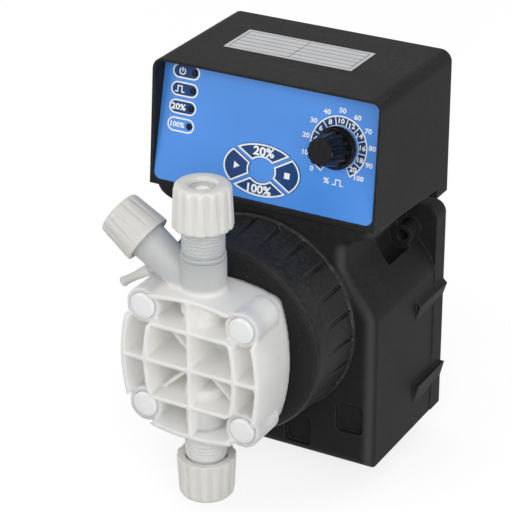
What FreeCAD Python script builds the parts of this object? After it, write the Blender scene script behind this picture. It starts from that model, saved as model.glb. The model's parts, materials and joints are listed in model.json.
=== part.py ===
import FreeCAD, Part
import math
import os
from FreeCAD import Placement, Rotation, Vector

# Wall-mounted diaphragm metering pump. Lengths are millimetres and angles are degrees.
# X runs to the right of someone facing the pump, Y runs back to the wall, and Z is up.
# Heights below are above the bottom of the case. Export moves the origin to the middle
# of the two wall screws, on the wall face.

# Lower case, which holds the electromagnet
case_width = 125.5
lower_depth = 82.0
lower_wall = 3.0
waist_inset = 17.45
waist_height = 6.0
flare_height = 16.0
shoulder_height = 30.0
hip_inset = 0.5
flange_depth = 10.8
front_edge_round = 6.5
magnet_opening_radius = 44.0
nub_proud = 2.7
nub_slope = 2.6
nub_length = 32.0
nub_height = 11.0
upper_nub_drop = 19.0
lower_nub_bottom = 14.0
pocket_width = 15.0
pocket_height = 17.0
pocket_depth = 3.0
outer_pocket_inset = 12.75
outer_pocket_z = 27.5
inner_pocket_x = 21.0
inner_pocket_z = 13.5

# Wall screws
wall_screw_inset = 14.25
wall_screw_drop = 7.5
wall_screw_hole_radius = 3.0
wall_boss_radius = 5.2
wall_boss_depth = 22.0
wall_recess_radius = 7.5
wall_recess_depth = 46.0

# Control case on top
case_height = 199.5
control_foot_depth = 84.2
control_brow_depth = 78.3
collar_headroom = 3.7
seam_drop = 5.4
rear_skirt_depth = 12.0
rear_skirt_drop = 5.0
control_wall = 2.5
frame_wall = 1.5
control_round = 6.0
seam_gap = 0.3
gasket_width = 2.0
gasket_height = 1.2
case_screw_edge = 9.75
case_screw_inset = 17.0
case_screw_radius = 1.5
case_screw_head_radius = 2.8
case_screw_length = 14.0
case_post_radius = 4.2

# Control panel, which leans back under the brow
panel_tilt = 14.0
panel_setback = 0.6
panel_foot_rise = 3.0
panel_corner = 4.0
panel_thickness = 3.0
overlay_thickness = 0.5
panel_fit = 0.25
key_centre_x = -0.9
key_centre_v = 15.6
key_field_width = 42.4
key_field_height = 26.0
key_hole_width = 14.6
key_hole_height = 12.6
key_split = 30.0
key_gap = 1.8
key_proud = 0.6
key_thickness = 2.6
key_travel = 0.4
key_fit = 0.12
led_radius = 1.6
led_x = -43.8
led_first_v = 29.1
led_pitch = 8.93
led_count = 4
led_proud = 0.4
dial_x = 38.4
dial_v = 34.7
pot_bush_radius = 4.4
pot_body_radius = 8.0
pot_body_depth = 9.0
pot_nut_across = 11.0
pot_nut_height = 1.8
pot_shaft_radius = 3.0
pot_shaft_length = 15.0
knob_radius = 10.5
knob_skirt_height = 2.6
knob_grip_base_radius = 8.8
knob_grip_top_radius = 6.9
knob_height = 18.0
knob_lift = 0.6
knob_flutes = 12
label_width = 71.0
label_depth = 26.6
label_x = -3.8
label_front_depth = 49.4
label_thickness = 0.3

# Circuit board behind the panel
board_side_gap = 15.75
board_height = 48.0
board_thickness = 1.6
board_standoff = 17.0
board_post_radius = 3.2
board_screw_radius = 1.4
board_screw_length = 9.0
terminal_ways = 6
terminal_pitch = 5.0
capacitor_radius = 9.0
capacitor_height = 20.0

# Electromagnet, on the pump axis
axis_height = 76.5
yoke_radius = 37.0
yoke_wall = 3.0
yoke_back_depth = 30.0
yoke_back_plate = 6.0
yoke_front_depth = 100.0
pole_plate_radius = 45.6
pole_plate_thickness = 6.0
coil_radius = 32.0
bobbin_tube_wall = 1.2
bobbin_cheek = 2.0
pole_length = 32.0
guide_inner_radius = 15.05
guide_outer_radius = 16.2
plunger_radius = 15.0
plunger_length = 32.4
shaft_radius = 4.0
stroke = 1.25
air_gap = 1.6
pole_bore_radius = 4.06
spring_pocket_radius = 8.6
spring_pocket_depth = 15.0
spring_wire_radius = 0.7
spring_radius = 6.6
spring_turns = 5
bumper_radius = 10.0
bumper_thickness = 2.0

# Head collar between the case and the pump head
collar_back_radius = 53.8
collar_front_radius = 50.4
collar_length = 35.0
collar_band = 3.0
collar_bore_radius = 46.0
collar_front_wall = 9.0
collar_front_round = 2.5
collar_slots = 24
collar_slot_width = 2.6
collar_slot_floor_radius = 50.9
collar_boss_radius = 5.0
collar_screw_circle = 49.0
collar_screw_radius = 1.5
collar_screw_grip = 9.0
yoke_screw_circle = 41.6
yoke_screw_radius = 1.9
yoke_screw_length = 12.0

# Diaphragm
diaphragm_radius = 30.6
diaphragm_rim = 3.0
diaphragm_web = 1.4
diaphragm_hub_radius = 9.0
diaphragm_seat_fit = 0.3
hub_behind = 4.0
hub_ahead = 1.6
bush_radius = 5.6
flange_radius = 32.0
chamber_radius = 23.0
chamber_floor_radius = 11.0
chamber_depth = 3.6

# Pump head
head_half = 38.0
head_depth = 37.0
head_corner_radius = 8.0
head_corner_offset = 26.0
head_step = 5.0
head_step_inset = 2.8
boss_offset = 27.0
boss_radius = 9.0
boss_setback = 4.0
cap_radius = 6.6
cap_dome = 1.2
cap_socket_depth = 9.0
head_screw_radius = 2.4
head_screw_head_radius = 4.2
head_screw_head = 4.0
head_screw_grip = 14.0
head_rim_wall = 2.4
head_rib = 2.2
head_rib_x = 22.0
head_rib_bow = 2.4
head_rib_z = 20.0
cell_depth = 25.0
valve_tube_radius = 9.6
valve_tube_reach = 14.0
web_thickness = 1.6

# Valves, on the upright axis through the head
valve_axis_setback = 16.0
valve_stub_radius = 7.4
valve_stub_length = 9.0
valve_column_radius = 11.1
valve_flange_radius = 10.9
valve_flange_height = 2.0
valve_body_length = 25.5
valve_seal_radius = 9.2
valve_seal_height = 1.2
passage_radius = 3.0
discharge_step = 54.5
suction_step = 37.4
nut_foot = 16.3
nut_height = 21.2
nut_wide_radius = 14.6
nut_narrow_radius = 13.7
nut_crown = 2.6
nut_wall_top = 2.6
nut_flutes = 14
nut_flute_radius = 2.4
thread_radius = 10.48
thread_pitch = 1.814
thread_depth = 0.9
nut_thread_fit = 0.08
ball_radius = 4.75
ball_lift = 1.5
ball_bore_radius = 5.6
seat_bore_radius = 3.2
seat_height = 4.0
hose_cone_radius = 4.4
hose_cone_tip_radius = 3.6
hose_bore_radius = 2.4
hose_cone_length = 9.0
hose_radius = 6.1
clamp_outer_radius = 9.2
clamp_height = 6.0

# Bleed valve on the left shoulder of the head
bleed_lean = 55.0
bleed_root_rise = 34.4
bleed_neck_small_radius = 8.2
bleed_neck_radius = 9.9
bleed_neck_start = 8.0
bleed_neck_end = 40.0
bleed_stem_radius = 5.0
bleed_stem_length = 8.0
bleed_seat = 15.0
bleed_drill_radius = 1.2
bleed_seal_height = 2.0
needle_grip = 5.0
knob_overlap = 2.6
bleed_knob_radius = 12.9
bleed_knob_length = 20.5
bleed_knob_ribs = 14
needle_radius = 2.6
nipple_radius = 2.2
nipple_bore_radius = 1.1
nipple_root_radius = 3.1
nipple_taper_start = 12.6
nipple_taper_length = 10.0
nipple_length = 29.0
nipple_at = 23.2
nipple_lean = 21.0

# Underside entries
entry_depth = 30.0
gland_x = -24.0
gland_thread_radius = 6.0
gland_hex_across = 18.0
gland_hex_height = 5.0
gland_nut_height = 9.0
cable_hole_radius = 3.6
socket_x = 24.0
socket_radius = 7.5
socket_drop = 9.0
socket_bore_radius = 5.4

# Clearances
fit = 0.1
loose = 0.3

# Sizes worked out from the ones above
half_width = case_width / 2
half_waist = half_width - waist_inset
seam_front_height = axis_height + collar_back_radius + collar_headroom
waist_high = seam_front_height - flare_height
waist_low = waist_high - waist_height
hip_height = waist_low - shoulder_height
flange_height = waist_high
upper_nub_bottom = hip_height - upper_nub_drop
outer_pocket_x = half_width - outer_pocket_inset
wall_screw_x = half_width - wall_screw_inset
wall_screw_height = waist_low - wall_screw_drop
case_screw_x = half_width - case_screw_edge
panel_foot_depth = control_foot_depth - panel_setback
board_width = 2 * (half_width - board_side_gap)
magnet_front = lower_depth + collar_length
head_front = magnet_front + head_depth
cap_plane = head_front - boss_setback
valve_depth = head_front - valve_axis_setback
slab = 400.0


def box(x_low, x_high, y_low, y_high, z_low, z_high):
    size = (x_high - x_low, y_high - y_low, z_high - z_low)
    return Part.makeBox(*size, Vector(x_low, y_low, z_low))


def rod(radius, start, end):
    """Round bar from one point to another."""
    span = end.sub(start)
    return Part.makeCylinder(radius, span.Length, start, span)


def rod_y(radius, x, z, depth_low, depth_high):
    """Round bar along Y, given as distances in front of the wall."""
    return rod(radius, Vector(x, -depth_low, z), Vector(x, -depth_high, z))


def rod_z(radius, x, y, z_low, z_high):
    return Part.makeCylinder(radius, z_high - z_low, Vector(x, y, z_low))


def turned(outline):
    """Solid of revolution about Z from corners given as radius and height."""
    corners = [Vector(radius, 0, height) for radius, height in outline]
    face = Part.Face(Part.makePolygon(corners + corners[:1]))
    return face.revolve(Vector(0, 0, 0), Vector(0, 0, 1), 360)


def prism(corners, lift):
    """Flat polygon pushed along a vector."""
    return Part.Face(Part.makePolygon(corners + corners[:1])).extrude(lift)


def hexagon(across, height, z=0.0):
    radius = across / math.sqrt(3)
    corners = []
    for i in range(6):
        turn = math.radians(60 * i)
        corners.append(Vector(radius * math.cos(turn), radius * math.sin(turn), z))
    return prism(corners, Vector(0, 0, height))


def moved(shape, offset, rotation=None):
    """Copy of a shape, turned and then shifted."""
    placed = shape.copy()
    placed.Placement = Placement(offset, rotation or Rotation()).multiply(placed.Placement)
    return placed


def facing(shape, depth):
    """Local Z becomes forward and local Y up, from a distance in front of the wall."""
    return moved(shape, Vector(0, -depth, axis_height), Rotation(Vector(1, 0, 0), 90))


def on_panel(shape, x=0.0, v=0.0):
    """Local Z leaves the panel and local Y runs up its slope."""
    foot = Vector(0, -panel_foot_depth, seam_front_height + panel_foot_rise)
    placement = Placement(foot, Rotation(Vector(1, 0, 0), 90 - panel_tilt))
    placed = moved(shape, Vector(x, v, 0))
    placed.Placement = placement.multiply(placed.Placement)
    return placed


def on_valve_axis(shape, rise, downward=False):
    """Local Z becomes up, or down, from a rise above the pump axis."""
    flip = Rotation(Vector(1, 0, 0), 180) if downward else Rotation()
    return moved(shape, Vector(0, -valve_depth, axis_height + rise), flip)


def corners_of(offset):
    return [(x, z) for x in (-offset, offset) for z in (-offset, offset)]


def fused(shapes):
    return shapes[0].multiFuse(shapes[1:]).removeSplitter()


def solids(shapes):
    return Part.makeCompound(shapes)


def on_seam(shape):
    """Local Z leaves the sloping joint between the two cases, from its front edge."""
    slope = math.degrees(math.atan2(seam_drop, control_foot_depth - rear_skirt_depth))
    front = Vector(0, -control_foot_depth, seam_front_height)
    return moved(shape, front, Rotation(Vector(1, 0, 0), -slope))


def seam_height(depth):
    run = control_foot_depth - rear_skirt_depth
    return seam_front_height - seam_drop * (control_foot_depth - depth) / run


def below_seam(drop):
    """Everything under the joint of the cases, less a drop."""
    step = seam_height(rear_skirt_depth) - drop
    outline = [
        (-slab, -slab),
        (-slab, seam_height(slab) - drop),
        (-rear_skirt_depth, step),
        (-rear_skirt_depth, step - rear_skirt_drop),
        (slab, step - rear_skirt_drop),
        (slab, -slab),
    ]
    corners = [Vector(-slab, y, z) for y, z in outline]
    return prism(corners, Vector(2 * slab, 0, 0))


def case_outline(inset):
    """Front view of the lower case: straight hips, a waist and a flared top."""
    hip = half_width - hip_inset - inset
    waist = half_waist - inset
    brim = half_width - hip_inset - inset
    lower = (waist_low - hip_height) / 3
    upper = (seam_front_height - waist_high) * 0.62
    top = seam_front_height + 8
    right = [
        Part.makeLine((hip, 0, inset), (hip, 0, hip_height)),
        bezier(
            (hip, hip_height),
            (hip, hip_height + lower),
            (waist, waist_low - lower * 0.8),
            (waist, waist_low),
        ),
        Part.makeLine((waist, 0, waist_low), (waist, 0, waist_high)),
        bezier(
            (waist, waist_high),
            (waist, waist_high + upper),
            (brim, seam_front_height - upper),
            (brim, seam_front_height),
        ),
        Part.makeLine((brim, 0, seam_front_height), (brim, 0, top)),
    ]
    mirror = [edge.mirror(Vector(0, 0, 0), Vector(1, 0, 0)) for edge in reversed(right)]
    across = Part.makeLine((brim, 0, top), (-brim, 0, top))
    base = Part.makeLine((-hip, 0, inset), (hip, 0, inset))
    return Part.Face(Part.Wire(right + [across] + mirror + [base]))


def bezier(*poles):
    curve = Part.BezierCurve()
    curve.setPoles([Vector(x, 0, z) for x, z in poles])
    return curve.toShape()


def case_block(inset, front, back):
    face = case_outline(inset)
    return moved(face, Vector(0, -back, 0)).extrude(Vector(0, back - front, 0))


def front_rim(shape, depth):
    """Edges of a block's front face, apart from the top one."""
    rim = []
    for edge in shape.Edges:
        bound = edge.BoundBox
        flat = abs(bound.YMin + depth) < 0.01 and abs(bound.YMax + depth) < 0.01
        if flat and bound.ZMin < seam_front_height:
            rim.append(edge)
    return rim


def side_nub(side, bottom, slope):
    """Wedge on the side of the case: its crest is below its top edge by the slope."""
    inner = half_width - hip_inset - 1
    outer = half_width - hip_inset + nub_proud
    top = bottom + nub_height
    crest = top - slope
    outline = [(inner, bottom), (inner + 1, bottom), (outer, crest), (inner + 1, top), (inner, top)]
    if slope == 0:
        outline.pop(3)
    corners = [Vector(side * x, -nub_length, z) for x, z in outline]
    return prism(corners, Vector(0, nub_length, 0))


def pocket(x, z, grow, depth):
    """Rounded square recess in the front face."""
    half = pocket_width / 2 + grow
    tall = pocket_height / 2 + grow
    block = box(x - half, x + half, -lower_depth - 1, -lower_depth + depth, z - tall, z + tall)
    upright = [e for e in block.Edges if abs(e.BoundBox.YLength - depth - 1) < 0.01]
    return block.makeFillet(pocket_width / 5, upright)


def front_pockets(grow, depth):
    places = []
    for side in (-1, 1):
        places.append((side * outer_pocket_x, outer_pocket_z))
        places.append((side * inner_pocket_x, inner_pocket_z))
    return [pocket(x, z, grow, depth) for x, z in places]


def collar_screw_places():
    reach = collar_screw_circle / math.sqrt(2)
    return [(x, axis_height + z) for x, z in corners_of(reach)]


def lower_case():
    block = case_block(0, lower_depth, flange_depth - 0.5)
    block = block.makeFillet(front_edge_round, front_rim(block, lower_depth))
    flange = box(-half_width, half_width, -flange_depth, 0, 0, flange_height)
    along = [e for e in flange.Edges if e.BoundBox.YLength > 1 and e.BoundBox.ZMin > 1]
    flange = flange.makeFillet(front_edge_round, along)
    between = box(-half_waist, half_waist, -flange_depth, 0, hip_height, slab)
    neck = case_block(0, flange_depth, 0).common(between)
    body = [block, flange, neck]
    hollow = case_block(lower_wall, lower_depth - lower_wall, lower_wall)
    hollow = hollow.common(below_seam(seam_gap + lower_wall))
    for side in (-1, 1):
        x = side * wall_screw_x
        body.append(rod_y(wall_boss_radius, x, wall_screw_height, 0, wall_boss_depth))
        body.append(side_nub(side, upper_nub_bottom, nub_slope))
        body.append(side_nub(side, lower_nub_bottom, 0))
        wall = rod_y(
            wall_recess_radius + lower_wall,
            x,
            wall_screw_height,
            0,
            wall_recess_depth + lower_wall,
        )
        hollow = hollow.cut(wall)
    for pad in front_pockets(lower_wall, pocket_depth + lower_wall):
        hollow = hollow.cut(pad)
    case = fused(body).common(below_seam(seam_gap / 2)).cut(hollow)
    for side in (-1, 1):
        x = side * wall_screw_x
        recess = rod_y(wall_recess_radius, x, wall_screw_height, wall_boss_depth, wall_recess_depth)
        case = case.cut(recess)
        case = case.cut(rod_y(wall_screw_hole_radius, x, wall_screw_height, -1, wall_recess_depth))
    cuts = front_pockets(0, pocket_depth)
    cuts.append(rod_y(magnet_opening_radius, 0, axis_height, lower_depth - 2 * lower_wall, lower_depth + 5))
    for x, z in collar_screw_places():
        cuts.append(rod_y(collar_screw_radius + loose, x, z, lower_depth - 9, lower_depth + 5))
    cuts.append(neck_opening())
    cuts.append(gasket_ring(fit))
    cuts.append(rod_z(gland_thread_radius + fit, gland_x, -entry_depth, -5, 2 * lower_wall))
    cuts.append(rod_z(socket_radius - 1.5 + fit, socket_x, -entry_depth, -5, 2 * lower_wall))
    for x, y in case_screw_places():
        reach = seam_front_height - waist_high
        cuts.append(on_seam(rod_z(case_screw_radius + loose, x, y, -reach, 10)))
        cuts.append(on_seam(rod_z(case_screw_head_radius + loose, x, y, -reach, -lower_wall)))
    for cut in cuts:
        case = case.cut(cut)
    return case


def neck_opening():
    """Way for the leads between the two cases, square to their joint."""
    reach = half_waist - 3 * lower_wall
    rear = control_foot_depth - rear_skirt_depth - 3 * lower_wall
    return on_seam(box(-reach, reach, 4 * lower_wall, rear, -2 * lower_wall, 3 * control_wall))


def gasket_ring(grow):
    reach = half_waist - 3 * lower_wall + gasket_width
    rear = control_foot_depth - rear_skirt_depth - 3 * lower_wall + gasket_width
    front = 4 * lower_wall - gasket_width
    low = -gasket_height - grow - seam_gap / 2
    high = seam_gap / 4 if grow == 0 else 3.0
    far = gasket_width + grow
    outer = box(-reach - far, reach + far, front - far, rear + far, low, high)
    inner = box(-reach + grow, reach - grow, front + grow, rear - grow, low - 1, high + 1)
    return on_seam(outer.cut(inner))


def case_gasket():
    return gasket_ring(0)


def case_screw_places():
    """Places on the joint of the cases, in its own slope."""
    front = case_screw_inset
    rear = control_foot_depth - rear_skirt_depth - case_screw_inset
    return [(side * case_screw_x, run) for side in (-1, 1) for run in (front, rear)]


def control_block(inset):
    """Solid form of the control case, or its hollow when inset."""
    brow = case_height - inset
    foot = seam_front_height
    lean = (control_foot_depth - control_brow_depth) / (case_height - foot)
    outline = [
        (-inset, foot - slab / 4),
        (-inset, brow),
        (-control_brow_depth, brow),
        (-control_foot_depth, foot),
        (-control_foot_depth - lean * slab / 4, foot - slab / 4),
    ]
    reach = half_width - inset
    corners = [Vector(-reach, y, z) for y, z in outline]
    return prism(corners, Vector(2 * reach, 0, 0))


def panel_reach():
    return half_width - frame_wall


def panel_height():
    """Slope from the panel's foot to the underside of the brow."""
    rise = case_height - frame_wall - seam_front_height - panel_foot_rise
    return rise / math.cos(math.radians(panel_tilt)) - panel_fit


def panel_block(shrink, low, high):
    """Rounded rectangle that fills the front opening, between two levels."""
    reach = panel_reach() - shrink
    block = box(-reach, reach, 0, panel_height(), low, high)
    corners = [e for e in block.Edges if abs(e.BoundBox.ZLength - high + low) < 0.01]
    return block.makeFillet(panel_corner, corners)


def front_opening():
    reach = panel_reach()
    back = -panel_thickness - overlay_thickness
    block = box(-reach, reach, -panel_fit, panel_height() + 10, back, 60)
    corners = [e for e in block.Edges if e.BoundBox.ZLength > 50 and e.BoundBox.YMin < 1]
    block = on_panel(block.makeFillet(panel_corner, corners))
    brow = box(-slab, slab, -slab, slab, -slab, case_height - frame_wall)
    return block.common(brow)


def control_case():
    block = control_block(0)
    long_edges = [e for e in block.Edges if e.BoundBox.ZMin > case_height - 1 and e.BoundBox.YLength > 60]
    block = block.makeFillet(control_round, long_edges)
    shell = block.cut(below_seam(-seam_gap / 2))
    ledge = 1.7
    reach = panel_reach() - ledge
    front = panel_foot_depth - panel_thickness - overlay_thickness - 0.6
    hollow = box(-reach, reach, -front, -control_wall, 0, case_height - control_wall)
    hollow = hollow.cut(below_seam(-seam_gap / 2 - control_wall))
    behind = box(-slab, slab, -slab, slab, -slab, -panel_thickness - overlay_thickness + 0.01)
    hollow = hollow.common(on_panel(behind))
    for x, y in case_screw_places():
        top = case_screw_length + 3
        hollow = hollow.cut(on_seam(rod_z(case_post_radius, x, y, 0, top)))
    shell = shell.cut(hollow).cut(front_opening()).cut(neck_opening())
    for x, y in case_screw_places():
        shell = shell.cut(on_seam(rod_z(case_screw_radius - 0.2, x, y, -5, case_screw_length)))
    return shell


def case_screw(x, y):
    """Screw from below, with its head against the flared top of the lower case."""
    head = rod_z(case_screw_head_radius, x, y, -lower_wall - 2.2, -lower_wall)
    tip = case_screw_length - lower_wall
    shank = rod_z(case_screw_radius - 0.2, x, y, -lower_wall, tip)
    slot = hexagon(2.5, 1.4, -lower_wall - 2.3)
    return on_seam(head.fuse(shank).cut(moved(slot, Vector(x, y, 0))))


def case_screws():
    return solids([case_screw(x, y) for x, y in case_screw_places()])


def rating_label():
    left = label_x - label_width / 2
    right = label_x + label_width / 2
    back = label_front_depth - label_depth
    return box(left, right, -label_front_depth, -back, case_height, case_height + label_thickness)


def oval(width, height, low, high):
    """Elliptical column."""
    curve = Part.Ellipse(Vector(0, 0, low), width / 2, height / 2)
    face = Part.Face(Part.Wire(curve.toShape()))
    return face.extrude(Vector(0, 0, high - low))


def key_form(index, grow, low, high):
    """One quarter of the oval ring of keys: 0 right, 1 top, 2 left, 3 bottom."""
    ring = oval(key_field_width + 2 * grow, key_field_height + 2 * grow, low, high)
    ring = ring.cut(oval(key_hole_width - 2 * grow, key_hole_height - 2 * grow, low - 1, high + 1))
    slope = math.radians(key_split)
    spread = [-slope, slope, math.pi - slope, math.pi + slope, 2 * math.pi - slope]
    start = spread[index]
    end = spread[index + 1]
    far = key_field_width * 2
    shift = key_gap / 2 - grow
    one = Vector(math.cos(start), math.sin(start), 0)
    two = Vector(math.cos(end), math.sin(end), 0)
    middle = (one + two).normalize()
    back = shift / math.sin(one.getAngle(middle))
    apex = middle * back + Vector(0, 0, low)
    corners = [apex, apex + one * far, apex + middle * far * 3, apex + two * far]
    return ring.common(prism(corners, Vector(0, 0, high - low)))


def key(index):
    return on_panel(key_form(index, 0, key_proud - key_thickness, key_proud), key_centre_x, key_centre_v)


def led_places():
    return [(led_x, led_first_v + i * led_pitch) for i in range(led_count)]


def board_corners():
    across = board_width / 2 - 5
    up = board_height / 2 - 5
    middle = panel_height() / 2
    return [(x, middle + v) for x, v in [(-across, -up), (-across, up), (across, -up), (across, up)]]


def panel_plate():
    low = -overlay_thickness - panel_thickness
    plate = panel_block(panel_fit, low, -overlay_thickness)
    cuts = []
    for index in range(4):
        form = key_form(index, key_fit, key_proud - key_thickness - key_travel - fit, 2)
        cuts.append(moved(form, Vector(key_centre_x, key_centre_v, 0)))
    for x, v in led_places():
        cuts.append(rod_z(led_radius + fit, x, v, low - 1, 1))
    cuts.append(rod_z(pot_bush_radius + fit, dial_x, dial_v, low - 1, 1))
    posts = []
    for x, v in board_corners():
        posts.append(rod_z(board_post_radius, x, v, low - board_standoff, low + 0.5))
        end = low - board_standoff
        cuts.append(rod_z(board_screw_radius - 0.2, x, v, end - 1, end + 8))
    plate = fused([plate] + posts)
    for cut in cuts:
        plate = plate.cut(cut)
    return on_panel(plate)


def front_overlay():
    """Coloured sheet over the panel plate, open at the keys, lamps and knob."""
    sheet = panel_block(panel_fit, -overlay_thickness, 0)
    for index in range(4):
        form = key_form(index, key_fit, -2, 2)
        sheet = sheet.cut(moved(form, Vector(key_centre_x, key_centre_v, 0)))
    for x, v in led_places():
        sheet = sheet.cut(rod_z(led_radius + fit, x, v, -2, 2))
    sheet = sheet.cut(rod_z(pot_nut_across / math.sqrt(3) + 0.6, dial_x, dial_v, -2, 2))
    return on_panel(sheet)


def lamp_lens():
    """Domed lamp that stands a little proud of the panel."""
    stem = -overlay_thickness - panel_thickness
    rim = led_proud / 2
    outline = [
        (0, stem),
        (led_radius, stem),
        (led_radius, rim),
        (led_radius * 0.6, led_proud),
        (0, led_proud),
    ]
    return turned(outline)


def led_lenses():
    return solids([on_panel(lamp_lens(), x, v) for x, v in led_places()])


def board_back():
    return -overlay_thickness - panel_thickness - board_standoff


def circuit_board():
    middle = panel_height() / 2
    top = board_back()
    board = box(
        -board_width / 2,
        board_width / 2,
        middle - board_height / 2,
        middle + board_height / 2,
        top - board_thickness,
        top,
    )
    for x, v in board_corners():
        board = board.cut(rod_z(board_screw_radius + fit, x, v, top - 5, top + 5))
    return on_panel(board)


def board_screw(x, v):
    seat = board_back() - board_thickness
    head = rod_z(board_screw_radius * 1.9, x, v, seat - 2, seat)
    shank = rod_z(board_screw_radius - 0.2, x, v, seat, seat + board_screw_length)
    return on_panel(head.fuse(shank))


def board_screws():
    return solids([board_screw(x, v) for x, v in board_corners()])


def terminal_block():
    """Row of clamps for the supply and the coil leads."""
    width = terminal_ways * terminal_pitch
    seat = board_back() - board_thickness
    block = box(-width / 2, width / 2, 0, 8, seat - 10, seat)
    for i in range(terminal_ways):
        x = (i + 0.5 - terminal_ways / 2) * terminal_pitch
        block = block.cut(rod_z(1.6, x, 5, seat - 11, seat - 6))
        block = block.cut(box(x - 1.5, x + 1.5, -1, 3, seat - 8, seat - 4))
    return on_panel(block, -board_width / 4, panel_height() / 2 - board_height / 2 + 2)


def capacitor():
    seat = board_back() - board_thickness
    can = turned(
        [
            (0, seat),
            (capacitor_radius, seat),
            (capacitor_radius, seat - capacitor_height + 1),
            (capacitor_radius - 1, seat - capacitor_height),
            (0, seat - capacitor_height),
        ]
    )
    return on_panel(can, board_width / 4, panel_height() / 2)


def potentiometer():
    """Round body behind the plate, with a threaded bush through it."""
    back = -overlay_thickness - panel_thickness
    body = rod_z(pot_body_radius, 0, 0, back - pot_body_depth, back)
    bush = rod_z(pot_bush_radius, 0, 0, back, pot_nut_height - overlay_thickness + 0.4)
    bore = rod_z(pot_shaft_radius + 0.05, 0, 0, back - pot_body_depth + 2, 20)
    return on_panel(body.fuse(bush).cut(bore), dial_x, dial_v)


def potentiometer_nut():
    seat = -overlay_thickness
    nut = hexagon(pot_nut_across, pot_nut_height, seat)
    nut = nut.cut(rod_z(pot_bush_radius + 0.05, 0, 0, seat - 1, seat + pot_nut_height + 1))
    return on_panel(nut, dial_x, dial_v)


def knob_foot():
    return pot_nut_height - overlay_thickness + 0.4 + knob_lift


def potentiometer_shaft():
    back = -overlay_thickness - panel_thickness - pot_body_depth + 2.3
    shaft = rod_z(pot_shaft_radius, 0, 0, back, knob_foot() + pot_shaft_length)
    return on_panel(shaft, dial_x, dial_v)


def control_knob():
    """Skirt, and a fluted grip that narrows to a flat top."""
    foot = knob_foot()
    top = foot + knob_height
    outline = [
        (0, foot),
        (knob_radius, foot),
        (knob_radius, foot + knob_skirt_height * 0.6),
        (knob_radius - 0.8, foot + knob_skirt_height),
        (knob_grip_base_radius, foot + knob_skirt_height),
        (knob_grip_top_radius, top - 0.8),
        (knob_grip_top_radius - 0.8, top),
        (0, top),
    ]
    knob = turned(outline)
    flute = 1.5
    for i in range(knob_flutes):
        turn = 2 * math.pi * (i + 0.5) / knob_flutes
        aim = Vector(math.cos(turn), math.sin(turn), 0)
        low = aim * (knob_grip_base_radius + 0.7) + Vector(0, 0, foot + knob_skirt_height)
        high = aim * (knob_grip_top_radius + 0.7) + Vector(0, 0, top + 1)
        knob = knob.cut(rod(flute, low, high))
    hole = rod_z(pot_shaft_radius + 0.02, 0, 0, foot - 1, foot + pot_shaft_length + 0.2)
    groove = box(-0.4, 0.4, knob_grip_top_radius * 0.25, knob_grip_top_radius, top - 0.4, top + 1)
    return on_panel(knob.cut(hole).cut(groove), dial_x, dial_v)


def yoke():
    """Steel cup around the coil, open at the front and bored for the guide tube."""
    front = yoke_front_depth - pole_plate_thickness
    inner = yoke_radius - yoke_wall
    hole = guide_outer_radius + 0.05
    outline = [
        (hole, yoke_back_depth),
        (yoke_radius, yoke_back_depth),
        (yoke_radius, front),
        (inner, front),
        (inner, yoke_back_depth + yoke_back_plate),
        (hole, yoke_back_depth + yoke_back_plate),
    ]
    return facing(turned(outline), 0)


def yoke_screw_places():
    return [(yoke_screw_circle, 0), (-yoke_screw_circle, 0), (0, yoke_screw_circle), (0, -yoke_screw_circle)]


def pole_plate():
    back = yoke_front_depth - pole_plate_thickness
    hole = guide_outer_radius + 0.05
    plate = turned(
        [
            (hole, back),
            (pole_plate_radius, back),
            (pole_plate_radius, yoke_front_depth),
            (hole, yoke_front_depth),
        ]
    )
    for x, v in yoke_screw_places():
        plate = plate.cut(rod_z(yoke_screw_radius + fit, x, v, back - 1, yoke_front_depth + 1))
    return facing(plate, 0)


def coil_bobbin():
    back = yoke_back_depth + yoke_back_plate + fit
    front = yoke_front_depth - pole_plate_thickness - fit
    inner = guide_outer_radius + 0.05
    tube = inner + bobbin_tube_wall
    cheek = coil_radius + 1
    outline = [
        (inner, back),
        (cheek, back),
        (cheek, back + bobbin_cheek),
        (tube, back + bobbin_cheek),
        (tube, front - bobbin_cheek),
        (cheek, front - bobbin_cheek),
        (cheek, front),
        (inner, front),
    ]
    return facing(turned(outline), 0)


def coil_winding():
    back = yoke_back_depth + yoke_back_plate + bobbin_cheek + 2 * fit
    front = yoke_front_depth - pole_plate_thickness - bobbin_cheek - 2 * fit
    inner = guide_outer_radius + bobbin_tube_wall + 0.1
    return facing(turned([(inner, back), (coil_radius, back), (coil_radius, front), (inner, front)]), 0)


def guide_floor():
    """Inside of the guide tube's closed end."""
    return plunger_back() - bumper_thickness


def pole_back():
    return yoke_front_depth - pole_length


def plunger_front():
    return pole_back() - air_gap


def plunger_back():
    return plunger_front() - plunger_length


def guide_tube():
    floor = guide_floor()
    wall = guide_outer_radius - guide_inner_radius
    outline = [
        (0, floor - wall),
        (guide_outer_radius, floor - wall),
        (guide_outer_radius, yoke_front_depth),
        (guide_inner_radius, yoke_front_depth),
        (guide_inner_radius, floor),
        (0, floor),
    ]
    return facing(turned(outline), 0)


def stop_bumper():
    floor = guide_floor()
    top = floor + bumper_thickness - 0.05
    return facing(turned([(0, floor), (bumper_radius, floor), (bumper_radius - 0.5, top), (0, top)]), 0)


def pole_core():
    """Fixed iron core with a pocket for the return spring."""
    back = pole_back()
    outer = guide_inner_radius - 0.03
    pocket = back + spring_pocket_depth
    outline = [
        (spring_pocket_radius, back),
        (outer, back),
        (outer, yoke_front_depth),
        (pole_bore_radius, yoke_front_depth),
        (pole_bore_radius, pocket),
        (spring_pocket_radius, pocket),
    ]
    return facing(turned(outline), 0)


def plunger():
    front = plunger_front()
    back = plunger_back()
    outline = [
        (0, back),
        (plunger_radius - 1, back),
        (plunger_radius, back + 1),
        (plunger_radius, front - 1),
        (plunger_radius - 1, front),
        (0, front),
    ]
    return facing(turned(outline), 0)


def diaphragm_back():
    return magnet_front - diaphragm_rim


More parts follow.
